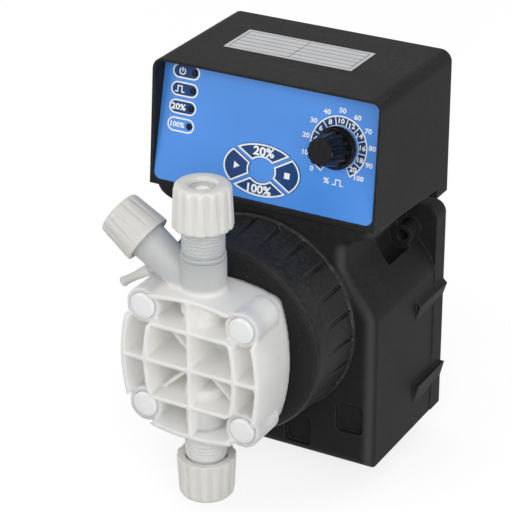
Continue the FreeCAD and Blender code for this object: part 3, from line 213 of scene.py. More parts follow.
def welded(mesh, reach, outward=False):
    """Joins the points of a mesh that lie within a reach, and turns its faces outwards where that is asked."""
    work = bmesh.new()
    work.from_mesh(mesh)
    bmesh.ops.remove_doubles(work, verts=work.verts, dist=reach)
    if outward:
        bmesh.ops.recalc_face_normals(work, faces=work.faces)
    work.to_mesh(mesh)
    work.free()
    return mesh


# Surfaces worked out with numpy
def rings_mesh(rings, closed_along):
    """Faces between rings of points: ring i joins to ring i + 1, and the last to the first.

    rings is an array of m rings by n points by 3. Where closed_along is False, the two open ends
    are closed with one face each.
    """
    m, n, _ = rings.shape
    span = n if closed_along else n - 1
    i, j = np.meshgrid(np.arange(m), np.arange(span), indexing="ij")
    a, b = i * n + j, i * n + (j + 1) % n
    c, d = ((i + 1) % m) * n + (j + 1) % n, ((i + 1) % m) * n + j
    faces = np.stack([a, b, c, d], -1).reshape(-1, 4).tolist()
    if not closed_along:
        faces.append([k * n for k in range(m)])
        faces.append([k * n + n - 1 for k in reversed(range(m))])
    return rings.reshape(-1, 3), faces


def band(outer, inner, low, high, closed=True):
    """Flat ribbon between two lines of as many points: both lines at the low and at the high level."""
    def at(line, level):
        return np.column_stack([line, np.full(len(line), level)])

    rings = np.stack([at(outer, low), at(outer, high), at(inner, high), at(inner, low)])
    return rings_mesh(rings, closed)


def disc(loop, low, high):
    """Flat plate inside a closed line: its points at both levels, and a fan from the middle of each side."""
    n = len(loop)
    middle = loop.mean(0)
    points = np.vstack(
        [
            np.column_stack([loop, np.full(n, low)]),
            np.column_stack([loop, np.full(n, high)]),
            [[*middle, low], [*middle, high]],
        ]
    )
    k = np.arange(n)
    after = (k + 1) % n
    faces = np.stack([k, after, after + n, k + n], -1).tolist()
    faces += np.stack([k + n, after + n, np.full(n, 2 * n + 1)], -1).tolist()
    faces += np.stack([after, k, np.full(n, 2 * n)], -1).tolist()
    return points, faces


def capsule(x, v, width, height, inset=0.0, steps=24):
    """Closed line of a capsule: two half circles of the same radius, height / 2 less the inset, joined straight."""
    radius = height / 2 - inset
    reach = width / 2 - height / 2
    turn = np.linspace(-np.pi / 2, np.pi / 2, steps)
    right = np.column_stack([x + reach + radius * np.cos(turn), v + radius * np.sin(turn)])
    left = np.column_stack([x - reach - radius * np.cos(turn), v - radius * np.sin(turn)])
    return np.vstack([right, left])


def arc(x, v, radius, start, end, steps=96):
    """Points of a circle's arc: radius times cosine and sine of each angle from start to end, in degrees."""
    turn = np.radians(np.linspace(start, end, steps))
    return np.column_stack([x + radius * np.cos(turn), v + radius * np.sin(turn)])


def stroke(points, width, low, high):
    """Pen line through points: each point moves half the width along its mitre, to the left and to the right."""
    sharpest = 0.35
    p = np.asarray(points, float)
    along = np.diff(p, axis=0)
    along /= np.linalg.norm(along, axis=1)[:, None]
    first, last = np.vstack([along[:1], along]), np.vstack([along, along[-1:]])
    normal_a = np.column_stack([-first[:, 1], first[:, 0]])
    normal_b = np.column_stack([-last[:, 1], last[:, 0]])
    mitre = normal_a + normal_b
    mitre /= np.linalg.norm(mitre, axis=1)[:, None]
    reach = width / 2 / np.maximum((mitre * normal_a).sum(1), sharpest)
    side = mitre * reach[:, None]
    return band(p - side, p + side, low, high, closed=False)


def key_outline(index, inset, arc_steps=40):
    """Closed line of one key, a quarter of the oval ring: outer ellipse, split line, inner ellipse, split line.

    A split line runs from the ring's middle at 30 degrees to the panel's width and half the gap aside. It meets
    an ellipse where (along * cos + aside * nx) squared over a squared plus the like for b equals one.
    """
    slope = KEY_SPLIT_ANGLE
    starts = [-slope, slope, math.pi - slope, math.pi + slope, 2 * math.pi - slope]
    aside = KEY_HALF_GAP + inset
    outside = [half - inset for half in KEY_RING_OUTSIDE]
    inside = [half + inset for half in KEY_RING_INSIDE]

    def meet(angle, side, a, b):
        dx, dy = math.cos(angle), math.sin(angle)
        nx, ny = -dy * side * aside, dx * side * aside
        qa = (dx / a) ** 2 + (dy / b) ** 2
        qb = 2 * (dx * nx / a**2 + dy * ny / b**2)
        qc = (nx / a) ** 2 + (ny / b) ** 2 - 1
        s = (-qb + math.sqrt(qb * qb - 4 * qa * qc)) / (2 * qa)
        return math.atan2((s * dy + ny) / b, (s * dx + nx) / a)

    lines = []
    for a, b in (outside, inside):
        one = meet(starts[index], 1, a, b)
        two = meet(starts[index + 1], -1, a, b)
        two += 2 * math.pi * (two < one)
        turn = np.linspace(one, two, arc_steps)
        lines.append(np.column_stack([a * np.cos(turn), b * np.sin(turn)]))
    return np.vstack([lines[0], lines[1][::-1]])


def evaluated(made):
    """New mesh of an object as its modifiers or its curve settings leave it."""
    bpy.context.view_layer.update()
    return bpy.data.meshes.new_from_object(made.evaluated_get(bpy.context.evaluated_depsgraph_get()))


def lettering(words, x, v, size, low, high, bold=0.0, wide=1.15):
    """Flat solid letters, centred at a place: the built-in font's outline, thickened and widened, as a mesh."""
    curve = bpy.data.curves.new("letters", "FONT")
    curve.body = words
    curve.size = size / CAPITAL_SHARE
    curve.align_x, curve.align_y = "CENTER", "CENTER"
    curve.offset = bold * size
    curve.resolution_u = 3
    curve.extrude = (high - low) / 2
    text = placed("letters", curve)
    mesh = evaluated(text)
    points = np.zeros(len(mesh.vertices) * 3)
    mesh.vertices.foreach_get("co", points)
    points = points.reshape(-1, 3) * [wide, 1, 1]
    middle = (points.min(0) + points.max(0)) / 2
    points += np.array([x, v, (low + high) / 2]) - middle
    faces = [list(f.vertices) for f in mesh.polygons]
    bpy.data.objects.remove(text)
    bpy.data.curves.remove(curve)
    bpy.data.meshes.remove(mesh)
    return points, faces


def joined(parts):
    """One list of points and faces from several, each part's faces counted on from the points before it."""
    points, faces, start = [], [], 0
    for some, its_faces in parts:
        points.append(some)
        faces += [[k + start for k in f] for f in its_faces]
        start += len(some)
    return np.vstack(points), faces


def panel_place(points, offset_x=0.0, offset_v=0.0):
    """Points across, up and out of the panel, set in the row frame: the panel leans back by its tilt at its foot."""
    s = bpy.context.scene.pump_panel
    x, v, w = points[:, 0] + offset_x, points[:, 1] + offset_v, points[:, 2]
    lean, rise = math.sin(s.tilt), math.cos(s.tilt)
    return np.column_stack([x, -s.foot_depth + v * lean - w * rise, s.foot_height + v * rise + w * lean])


def piece(name, points, faces, body, material):
    """Puts points and faces into a mesh whose faces point outwards, and lets it ride on its body."""
    mesh = welded(mesh_of(name, points, faces), reach=1e-7, outward=True)
    made = placed(name, mesh)
    mesh.polygons.foreach_set("use_smooth", [False] * len(mesh.polygons))
    mesh.materials.append(material)
    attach(made, body)


# Shader nodes and the groups that the materials share
def feed(tree, at, value):
    """Joins a socket to an input, or sets the input to a plain value."""
    if isinstance(value, bpy.types.NodeSocket):
        tree.links.new(value, at)
    else:
        at.default_value = value


def fill(tree, made, **links):
    """Feeds the inputs of a node: i0 is the first one, and a low line in a name stands for a space."""
    for key, value in links.items():
        numbered = key[0] == "i" and key[1:].isdigit()
        feed(tree, made.inputs[int(key[1:]) if numbered else key.replace("_", " ")], value)


def node(tree, kind, settings=None, **links):
    """New node with its settings; links names its inputs, each a socket to join or a value to set."""
    made = tree.nodes.new(kind)
    for key, value in (settings or {}).items():
        setattr(made, key, value)
    fill(tree, made, **links)
    return made


def maths(tree, operation, a, b=0.0, clamp=False):
    """Result of one sum on two values."""
    return node(tree, "ShaderNodeMath", {"operation": operation, "use_clamp": clamp}, i0=a, i1=b).outputs[0]


def times(tree, a, b, clamp=False):
    """Product of two values."""
    return maths(tree, "MULTIPLY", a, b, clamp)


def remap(tree, value, low, high, to_low=0.0, to_high=1.0, way="LINEAR"):
    """A value's run from low to high, laid on the run from to_low to to_high."""
    return node(
        tree, "ShaderNodeMapRange", {"interpolation_type": way}, Value=value, From_Min=low, From_Max=high,
        To_Min=to_low, To_Max=to_high,
    ).outputs[0]


def noise(tree, place, scale, detail, rough=0.5):
    """Smooth noise at a place, as one value."""
    made = node(tree, "ShaderNodeTexNoise", Vector=place, Scale=scale, Detail=detail, Roughness=rough)
    return made.outputs[0]


def stretched(tree, place, factors):
    """A place with its parts multiplied, which draws a pattern out along the part with the small factor."""
    return node(tree, "ShaderNodeVectorMath", {"operation": "MULTIPLY"}, i0=place, i1=factors).outputs[0]


def face_normal(tree):
    """Normal of the face, as it is in the mesh."""
    return tree.nodes.new("ShaderNodeNewGeometry").outputs["Normal"]


def parts_of(tree, vector):
    """Three parts of a vector."""
    return node(tree, "ShaderNodeSeparateXYZ", Vector=vector).outputs


def group(name, **inputs):
    """New node group and its inputs, each with its start value, or None for a place."""
    tree = bpy.data.node_groups.new(name, "ShaderNodeTree")
    for label, start in inputs.items():
        vector = start is None or isinstance(start, tuple)
        kind = "NodeSocketVector" if vector else "NodeSocketFloat"
        socket = tree.interface.new_socket(name=label, in_out="INPUT", socket_type=kind)
        if start is not None:
            socket.default_value = start
    return tree, tree.nodes.new("NodeGroupInput").outputs


def give(tree, **results):
    """Puts results out of a group, a normal as a vector and the others as values."""
    for label in results:
        kind = "NodeSocketVector" if label == "Normal" else "NodeSocketFloat"
        tree.interface.new_socket(name=label, in_out="OUTPUT", socket_type=kind)
    out = tree.nodes.new("NodeGroupOutput")
    for label, value in results.items():
        tree.links.new(value, out.inputs[label])
    return tree


def soft_corner_group():
    """Normal rounded at corners within a radius, and a mask of those corners."""
    edge_gain = 6.0
    tree, given = group("Soft corners", Radius=0.0006)
    bevel = node(tree, "ShaderNodeBevel", {"samples": 6}, Radius=given["Radius"]).outputs[0]
    dot = node(tree, "ShaderNodeVectorMath", {"operation": "DOT_PRODUCT"}, i0=bevel, i1=face_normal(tree))
    turned = maths(tree, "SUBTRACT", 1.0, dot.outputs["Value"])
    return give(tree, Normal=bevel, Edge=times(tree, turned, edge_gain, clamp=True))


def moulded_grain_group():
    """Fine grain of a moulded face, a slow drift of tone and sparse pale specks."""
    sparse, sharp, chosen_from = 0.25, 5.0, 0.86
    tree, given = group("Moulded grain", Vector=None, Grain=2200.0, Drift=40.0)
    place = given["Vector"]
    spot = node(tree, "ShaderNodeTexVoronoi", Vector=place, Scale=times(tree, given["Grain"], sparse))
    near = maths(tree, "SUBTRACT", 1.0, times(tree, spot.outputs["Distance"], sharp), clamp=True)
    rare = node(tree, "ShaderNodeSeparateColor", Color=spot.outputs["Color"]).outputs[0]
    return give(
        tree, Height=noise(tree, place, given["Grain"], 2.0), Tone=noise(tree, place, given["Drift"], 4.0),
        Specks=times(tree, near, maths(tree, "GREATER_THAN", rare, chosen_from)),
    )


def brushed_group():
    """Fine lines that run one way, as height and tone: noise stretched many times along that way."""
    tree, given = group("Brushed lines", Vector=None, Stretch=(30.0, 3000.0, 3000.0))
    lines = noise(tree, stretched(tree, given["Vector"], given["Stretch"]), 1.0, 3.0)
    return give(tree, Height=lines, Tone=noise(tree, given["Vector"], 60.0, 3.0))


def turned_corner_group():
    """Mask of rounded upright corners that face forward, where a highlight is painted: twice the normal's part across
    times its part forward, to a power.
    """
    tree, given = group("Turned corners", Power=3.0)
    across, depth = parts_of(tree, face_normal(tree))[:2]
    ahead = times(tree, depth, -1.0, clamp=True)
    both = times(tree, maths(tree, "ABSOLUTE", across), ahead)
    twice = times(tree, both, 2.0, clamp=True)
    return give(tree, Mask=maths(tree, "POWER", twice, given["Power"]))


def handling_group():
    """Rubbed and dusty patches along the width: a slow noise cut by a faster one, stronger on faces that look up."""
    tree, given = group("Handling marks", Vector=None, Amount=0.4)
    slow = noise(tree, stretched(tree, given["Vector"], (0.35, 1.0, 1.0)), 34.0, 5.0, 0.65)
    fast = noise(tree, given["Vector"], 420.0, 3.0)
    mask = remap(tree, times(tree, slow, fast), 0.22, 0.42)
    up = parts_of(tree, face_normal(tree))[2]
    top = maths(tree, "ADD", times(tree, up, 0.5), 0.5, clamp=True)
    share = times(tree, mask, given["Amount"])
    return give(tree, Mask=times(tree, share, top))


def worn_edge_group():
    """Rubbed corners: the mask of corners broken up by a noise, so that bare spots and whole stretches alternate."""
    tree, given = group("Worn edges", Vector=None, Edge=0.0, Scale=260.0, Start=0.45)
    spots = noise(tree, given["Vector"], given["Scale"], 6.0, 0.7)
    broken = remap(tree, spots, given["Start"], maths(tree, "ADD", given["Start"], 0.14))
    return give(tree, Mask=times(tree, given["Edge"], broken, clamp=True))


GROUP_MAKERS = {
    "Soft corners": soft_corner_group,
    "Moulded grain": moulded_grain_group,
    "Brushed lines": brushed_group,
    "Handling marks": handling_group,
    "Worn edges": worn_edge_group,
    "Turned corners": turned_corner_group,
}
GROUPS = {}


def effect(tree, name, **links):
    """Outputs of one of the shared groups, placed in a material; the group is made at its first use."""
    if name not in GROUPS:
        GROUPS[name] = GROUP_MAKERS[name]()
    made = tree.nodes.new("ShaderNodeGroup")
    made.node_tree = GROUPS[name]
    fill(tree, made, **links)
    return made.outputs


def blank(name):
    """New material with a shader alone; gives it, its tree, its shader and the place on the object."""
    material = bpy.data.materials.new(name)
    material.use_nodes = True
    tree = material.node_tree
    tree.nodes.clear()
    shader = tree.nodes.new("ShaderNodeBsdfPrincipled")
    output = tree.nodes.new("ShaderNodeOutputMaterial")
    tree.links.new(shader.outputs[0], output.inputs["Surface"])
    place = tree.nodes.new("ShaderNodeTexCoord").outputs["Object"]
    return material, tree, shader, place


def mixed(tree, share, one, two):
    """Colour between two by a share."""
    made = tree.nodes.new("ShaderNodeMix")
    made.data_type = "RGBA"
    for at, value in zip([s for s in made.inputs if s.enabled], (share, one, two)):
        if at.type == "RGBA" and not isinstance(value, bpy.types.NodeSocket):
            value = (*value[:3], 1.0)
        feed(tree, at, value)
    return [s for s in made.outputs if s.enabled][0]


def shade(colour, factor):
    """A colour made darker or paler by a factor."""
    return tuple(min(1.0, c * factor) for c in colour[:3])


NOISE_RUN = (0.3, 0.7)


def raised(tree, shader, depth, height, normal):
    """Bump of a height over the normal of softened corners."""
    bump = node(tree, "ShaderNodeBump", Strength=1.0, Distance=depth, Height=height, Normal=normal)
    tree.links.new(bump.outputs[0], shader.inputs["Normal"])


def shader_of(material):
    """The one shader of a material."""
    return material.node_tree.nodes["Principled BSDF"]


def overpaint(material, share, colour):
    """Lays a colour over a material's own colour, by a share."""
    tree = material.node_tree
    at = shader_of(material).inputs["Base Color"]
    tree.links.new(mixed(tree, share, at.links[0].from_socket, colour), at)


def moulded(name, colour, rough=0.5, grain=2200.0, depth=0.00002, corner=0.0006, spread=0.25, edge=1.6, marks=0.0,
            mark_colour=(0.5, 0.5, 0.5), specks=0.0, speck_colour=(0.5, 0.5, 0.5), specular=0.5, coat=0.0, cloud=40.0,
            wear_and_sheen=0.0, wear_and_sheen_colour=(0.3, 0.3, 0.3), worn_start=0.45, worn_scale=260.0, worn_behind=None):
    """Moulded plastic: tone that drifts, grain in its height, softened corners a little paler (partly rubbed wear and
    partly a painted edge highlight), dust and specks.

    wear_and_sheen shows pale broken corners in wear_and_sheen_colour, partly rubbed wear and partly a painted
    highlight, and only nearer to the wall than worn_behind where that is given.
    """
    edge_share, unevenness = 0.6, 0.07
    material, tree, shader, place = blank(name)
    soft = effect(tree, "Soft corners", Radius=corner)
    texture = effect(tree, "Moulded grain", Vector=place, Grain=grain, Drift=cloud)
    tone = remap(tree, texture["Tone"], *NOISE_RUN)
    base = mixed(tree, tone, shade(colour, 1 - spread), shade(colour, 1 + spread))
    # Painted edge highlight and rubbed wear: corners paler by the edge factor
    base = mixed(tree, times(tree, soft["Edge"], edge_share), base, shade(colour, edge))
    if specks:
        base = mixed(tree, times(tree, texture["Specks"], specks), base, speck_colour)
    if marks:
        rub = effect(tree, "Handling marks", Vector=place, Amount=marks)["Mask"]
        base = mixed(tree, rub, base, mark_colour)
    if wear_and_sheen:
        wear_and_sheen_mask = effect(tree, "Worn edges", Vector=place, Edge=soft["Edge"], Scale=worn_scale, Start=worn_start)["Mask"]
        if worn_behind is not None:
            behind = maths(tree, "GREATER_THAN", parts_of(tree, place)[1], worn_behind)
            wear_and_sheen_mask = times(tree, wear_and_sheen_mask, behind)
        base = mixed(tree, times(tree, wear_and_sheen_mask, wear_and_sheen), base, wear_and_sheen_colour)
    uneven = remap(tree, texture["Height"], *NOISE_RUN, rough - unevenness, rough + unevenness)
    raised(tree, shader, depth, texture["Height"], soft["Normal"])
    fill(tree, shader, Base_Color=base, Roughness=uneven, Specular_IOR_Level=specular)
    fill(tree, shader, Coat_Weight=coat, Coat_Roughness=0.12)
    return material


def milky(name, colour, rough=0.42, scatter=0.5, reach=0.004, corner=0.0008, glow=0.0):
    """Translucent moulded plastic: light scatters some way into it, a faint painted glow stands in for light that
    comes through thin walls, and corners are soft.
    """
    material = moulded(
        name, colour, rough=rough, grain=700.0, depth=0.00004, corner=corner, spread=0.035, edge=1.06, specular=0.45,
        cloud=55.0,
    )
    # Painted glow: emission lightens the part as if light came through it
    fill(
        material.node_tree, shader_of(material), Subsurface_Weight=scatter, Subsurface_Scale=reach,
        Subsurface_Radius=(1.0, 0.95, 0.88), Emission_Color=(*colour[:3], 1.0), Emission_Strength=glow,
    )
    return material


def rub_corners(material, colour, amount):
    """Painted highlight: a paler tone on the rounded upright corners that face forward."""
    tree = material.node_tree
    mask = effect(tree, "Turned corners", Power=3.0)["Mask"]
    overpaint(material, times(tree, mask, amount), colour)


def thin_walls(material, height, spread, colour):
    """Painted shade: a greyer tone above a height."""
    strength = 0.8
    tree = material.node_tree
    up = parts_of(tree, tree.nodes["Texture Coordinate"].outputs["Object"])[2]
    share = remap(tree, up, height - spread, height + spread, way="SMOOTHSTEP")
    overpaint(material, times(tree, share, strength), colour)


def metal(name, colour, rough=0.3, stretch=(30.0, 3000.0, 3000.0), depth=0.000006, corner=0.0003):
    """Metal with fine lines along one way, clouded in tone, and bright corners."""
    material, tree, shader, place = blank(name)
    soft = effect(tree, "Soft corners", Radius=corner)
    lines = effect(tree, "Brushed lines", Vector=place, Stretch=stretch)
    base = mixed(tree, lines["Tone"], shade(colour, 0.82), shade(colour, 1.12))
    base = mixed(tree, soft["Edge"], base, shade(colour, 1.2))
    uneven = remap(tree, lines["Height"], *NOISE_RUN, rough - 0.06, rough + 0.1)
    raised(tree, shader, depth, lines["Height"], soft["Normal"])
    fill(tree, shader, Base_Color=base, Roughness=uneven, Metallic=1.0)
    return material


def dress(material, *names):
    """Gives CAD pieces a finish."""
    for name in names:
        NODES[name].material_slots[0].material = material


def web(reach_x, reach_z, low, high, thickness):
    """Flat wall from the pump axis to a corner: a slab either side of that line, from one depth to another."""
    along = np.array([reach_x, reach_z])
    aside = np.array([-along[1], along[0]]) / np.linalg.norm(along) * thickness / 2
    axis = np.array([0.0, AXIS_HEIGHT])
    corners = np.array([axis + aside, axis + along + aside, axis + along - aside, axis - aside])
    points = np.vstack([np.column_stack([corners[:, 0], np.full(4, y), corners[:, 1]]) for y in (low, high)])
    faces = [(3, 2, 1, 0), (4, 5, 6, 7), (1, 5, 4, 0), (2, 6, 5, 1), (3, 7, 6, 2), (0, 4, 7, 3)]
    return points, faces


def softened(name, node_name, cell, passes, material, more, less):
    """A node's shape with its corners rounded: its solid is filled with cubes of one size and their skin smoothed.

    less is a closed shape that is cut away first, and more lists closed shapes that are then added.
    """
    source = NODES[node_name]
    mesh = welded(source.data.copy(), reach=1e-6)
    made = placed(name, mesh)
    knife_mesh = mesh_of("knife", *less)
    knife = placed("knife", knife_mesh)
    cut = made.modifiers.new("cut", "BOOLEAN")
    cut.object, cut.operation, cut.solver = knife, "DIFFERENCE", "EXACT"
    carved = evaluated(made)
    made.modifiers.clear()
    made.data = carved
    bpy.data.meshes.remove(mesh)
    bpy.data.objects.remove(knife)
    bpy.data.meshes.remove(knife_mesh)

    extra = mesh_of("extra", *joined(more))
    work = bmesh.new()
    work.from_mesh(carved)
    work.from_mesh(extra)
    work.to_mesh(carved)
    work.free()
    bpy.data.meshes.remove(extra)

    remesh = made.modifiers.new("cubes", "REMESH")
    remesh.mode, remesh.voxel_size, remesh.use_smooth_shade = "VOXEL", cell, True
    smooth = made.modifiers.new("skin", "SMOOTH")
    smooth.factor, smooth.iterations = 0.5, passes
    result = evaluated(made)
    made.modifiers.clear()
    made.data = result
    bpy.data.meshes.remove(carved)
    result.name = name
    result.polygons.foreach_set("use_smooth", [True] * len(result.polygons))
    result.materials.clear()
    result.materials.append(material)
    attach(made, source["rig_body"])
    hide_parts(node_name)


def flexing(node_name):
    """A copy of a node with its placement baked into its points, shown in place of the hidden node."""
    made = placed(node_name + "_flexing", NODES[node_name].data.copy())
    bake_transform(made)
    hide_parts(node_name)


# One operator for each piece or group of like pieces
class PUMP_OT_case(bpy.types.Operator):
    """Black grained housing: lower case and control case, their gasket and screws"""

    bl_idname = "pump.case"
    bl_label = "Case"

    def execute(self, context):
        colours = context.scene.pump_colours
        plastic = moulded(
            "Case plastic", colours.case, grain=2600.0, depth=0.000012, corner=0.0010, spread=0.05, edge=2.6,
            marks=0.035, mark_colour=(0.30, 0.30, 0.30), specks=0.08, speck_colour=(0.12, 0.12, 0.12), specular=0.05,
            wear_and_sheen=0.30, wear_and_sheen_colour=(0.13, 0.13, 0.135),
        )
        # Painted highlight: paler tone along the case's rounded front upright corners
        rub_corners(plastic, colour=(0.075, 0.076, 0.079), amount=0.75)
        dress(plastic, "lower_case", "control_case")
        rubber = moulded("Gasket rubber", (0.014, 0.014, 0.014), rough=0.75, depth=0.00002, specular=0.2)
        dress(rubber, "case_gasket", "valve_seals", "stop_bumper")
        screw = metal("Plated screws", (0.55, 0.55, 0.55), rough=0.32)
        dress(screw, "case_screws", "board_screws", "yoke_screws", "collar_screws", "head_screws")
        return {"FINISHED"}


class PUMP_OT_brow_corners(bpy.types.Operator):
    """Fillets that close the two upper corners of the panel's opening

    A section lies between an arc just under the case's rounded edge and an arc about the opening's corner.
    """

    bl_idname = "pump.brow_corners"
    bl_label = "Brow corners"

    def execute(self, context):
        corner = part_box("control_case")[1]
        edge_round, short, opening, wall = 6.0 * MM, 0.01 * MM, 4.0 * MM, 1.5 * MM
        start, end, steps, front, back = 6, 84, 24, -78.15 * MM, -66.5 * MM
        inset = wall + opening
        outer = arc(corner.x - edge_round, corner.z - edge_round, edge_round - short, start, end, steps)
        inner = arc(corner.x - inset, corner.z - inset, opening, start, end, steps)
        points, faces = band(outer, inner, front, back, closed=False)
        for name, side in (("brow_corner_right", 1), ("brow_corner_left", -1)):
            turned = points[:, [0, 2, 1]] * [side, 1, 1]
            piece(name, turned, faces, "housing", bpy.data.materials["Case plastic"])
        return {"FINISHED"}


class PUMP_OT_collar(bpy.types.Operator):
    """Slotted black drum with a speckled face and a pale broken line along its back edge, partly wear and partly a
    painted highlight
    """

    bl_idname = "pump.collar"
    bl_label = "Collar"

    def execute(self, context):
        colours = context.scene.pump_colours
        # Painted highlight and wear: pale broken line along the drum's back edge, and corners paler by the edge
        # factor
        plastic = moulded(
            "Collar plastic", colours.collar, rough=0.46, grain=2000.0, corner=0.0011, spread=0.12, edge=4.0,
            specks=0.6, speck_colour=(0.16, 0.16, 0.16), marks=0.08, mark_colour=(0.22, 0.22, 0.22), specular=0.12,
            wear_and_sheen=0.6, wear_and_sheen_colour=(0.36, 0.36, 0.36), worn_start=0.50, worn_scale=240.0, worn_behind=-86.2 * MM,
        )
        dress(plastic, "head_collar")
        dress(moulded("Flange plastic", (0.10, 0.10, 0.11)), "backing_flange")
        return {"FINISHED"}


class PUMP_OT_panel(bpy.types.Operator):
    """Blue sheet of the panel on its plate, with the lamps"""

    bl_idname = "pump.panel"
    bl_label = "Panel"

    def execute(self, context):
        colours = context.scene.pump_colours
        sheet = moulded(
            "Blue overlay", colours.overlay, rough=0.34, grain=2600.0, depth=0.000006, corner=0.0003, spread=0.07,
            edge=1.15, specular=0.35, cloud=16.0,
        )
        dress(sheet, "front_overlay")
        dress(moulded("Panel plate plastic", (0.035, 0.035, 0.037), rough=0.55), "panel_plate")
        lens = moulded(
            "Lamp lens", (0.004, 0.006, 0.012), rough=0.22, grain=500.0, depth=0.00001, corner=0.0003, specular=0.12
        )
        dress(lens, "led_lenses")
        return {"FINISHED"}


def pulse_sign(x, v, width, height, pen, low, high):
    """One square pulse: level, up, level, down, level."""
    a, b, step = width / 2, height / 2, width * 0.21
    line = [(-a, -b), (-step, -b), (-step, b), (step, b), (step, -b), (a, -b)]
    return stroke(np.array(line) + [x, v], pen, low, high)


def power_sign(x, v, radius, pen, low, high):
    """Ring open at the top with a bar in the opening."""
    start, end = 122, 418
    outside, inside = arc(x, v, radius + pen / 2, start, end), arc(x, v, radius - pen / 2, start, end)
    bar = stroke([(x, v - radius * 0.1), (x, v + radius * 1.25)], pen, low, high)
    return joined([band(outside, inside, low, high, closed=False), bar])


class PUMP_OT_panel_print(bpy.types.Operator):
    """Printing on the panel: lamp frames with their signs, and the dial with its numbers"""

    bl_idname = "pump.panel_print"
    bl_label = "Panel printing"

    def execute(self, context):
        s, colours = context.scene.pump_panel, context.scene.pump_colours
        low, mid, high = 0.0, s.ink, 2 * s.ink
        navy = moulded(
            "Navy print", colours.navy, rough=0.36, depth=0.000004, corner=0.0001, spread=0.1, specular=0.12
        )
        white = moulded(
            "White print", colours.print_white, rough=0.4, depth=0.000004, corner=0.0001, spread=0.02, edge=1.0
        )
        dark, pale = [], []
        width, height, line, lens = 15.4 * MM, 7.3 * MM, 0.8 * MM, 1.75 * MM
        frame_x, sign_x = s.lamp_x - 4.75 * MM, s.lamp_x - 7.4 * MM
        rows = [s.lamp_foot + k * s.lamp_pitch for k in range(4)]
        for k, v in enumerate(rows):
            edge = capsule(frame_x, v, width, height)
            fill = capsule(frame_x, v, width, height, inset=line)
            pale.append(band(edge, fill, low, high))
            if k:
                turn = np.arctan2(fill[:, 1] - v, fill[:, 0] - s.lamp_x)
                hole = np.column_stack([s.lamp_x + lens * np.cos(turn), v + lens * np.sin(turn)])
                dark.append(band(fill, hole, low, mid))
        pale.append(lettering("100%", sign_x + 0.75 * MM, rows[0], 2.5 * MM, mid, high, bold=0.05, wide=1.1))
        pale.append(lettering("20%", sign_x + 0.3 * MM, rows[1], 3.0 * MM, mid, high, bold=0.05))
        pale.append(pulse_sign(sign_x, rows[2], 5.4 * MM, 2.9 * MM, 0.62 * MM, mid, high))
        pale.append(power_sign(sign_x + 0.5 * MM, rows[3], 1.6 * MM, 0.62 * MM, mid, high))

        x, v, inner, outer = s.dial_x, s.dial_v, s.dial_inner, s.dial_outer
        first, last, step, splits, rim = 238.5, -58.5, 27, 12, 0.35 * MM

        def dial_band(outside, inside, top):
            lines = [arc(x, v, radius, first, last) for radius in (outside, inside)]
            return band(*lines, low, top, closed=False)

        dark.append(dial_band(outer, inner, mid))
        pale.append(dial_band(outer + rim, outer - rim, high))
        pale.append(dial_band(inner + rim / 2, inner - rim / 2, high))
        for k in range(splits):
            turn = math.radians(first - step * k)
            ends = [(x + r * math.cos(turn), v + r * math.sin(turn)) for r in (inner - rim / 2, outer + rim)]
            pale.append(stroke(ends, 0.5 * MM, low, high))
        for start, radius, numbers in (
            (198, (inner + outer) / 2, range(2, 22, 2)), (225, 18.0 * MM, range(0, 110, 10))
        ):
            for k, number in enumerate(numbers):
                turn = math.radians(start - step * k)
                across, up = x + radius * math.cos(turn), v + radius * math.sin(turn)
                pale.append(lettering(str(number), across, up, 2.35 * MM, mid, high, bold=0.045))
        sign_v = v - 17.0 * MM
        pale.append(lettering("%", x - 4.2 * MM, sign_v, 2.7 * MM, mid, high, bold=0.045))
        pale.append(pulse_sign(x + 2.0 * MM, sign_v, 6.0 * MM, 2.6 * MM, 0.55 * MM, low, high))

        for name, parts, ink, slot in (
            ("panel_print_navy", dark, navy, "navy_keys"), ("panel_print_white", pale, white, "blue_overlay")
        ):
            points, faces = joined(parts)
            piece(name, panel_place(points), faces, "housing", ink)
        return {"FINISHED"}


class PUMP_OT_keys(bpy.types.Operator):
    """Four navy keys, each with its printed border and sign"""

    bl_idname = "pump.keys"
    bl_label = "Keys"

    def execute(self, context):
        s, colours = context.scene.pump_panel, context.scene.pump_colours
        film = moulded(
            "Key film", colours.navy, rough=0.3, depth=0.000006, corner=0.0004, spread=0.12, edge=1.3, specular=0.14
        )
        dress(film, "key_right", "key_top", "key_left", "key_bottom")
        white = bpy.data.materials["White print"]
        low, high = s.key_top, s.key_top + s.ink
        square = np.array([(1, 1), (-1, 1), (-1, -1), (1, -1)]) * 1.5 * MM + [14.2 * MM, 0]
        triangle = np.array([(1.2, 0), (-0.8, 1.15), (-0.8, -1.15)]) * 1.6 * MM + [-14.0 * MM, 0]
        signs = {
            "key_right": disc(square, low, high),
            "key_top": lettering("20%", 0.3 * MM, 9.3 * MM, 4.2 * MM, low, high, bold=0.05),
            "key_left": disc(triangle, low, high),
            "key_bottom": lettering("100%", 0, -9.5 * MM, 4.0 * MM, low, high, bold=0.05),
        }
        for index, (name, sign) in enumerate(signs.items()):
            border = band(key_outline(index, 0.02 * MM), key_outline(index, s.key_border), low, high)
            points, faces = joined([border, sign])
            piece(name + "_print", panel_place(points, s.keys_x, s.keys_v), faces, name, white)
        return {"FINISHED"}


class PUMP_OT_knob(bpy.types.Operator):
    """Satin black control knob"""

    bl_idname = "pump.knob"
    bl_label = "Control knob"

    def execute(self, context):
        plastic = moulded(
            "Knob plastic", (0.005, 0.005, 0.007), rough=0.2, grain=1600.0, depth=0.000015, corner=0.0004, spread=0.2,
            edge=3.0, specular=0.14,
        )
        dress(plastic, "control_knob")
        return {"FINISHED"}


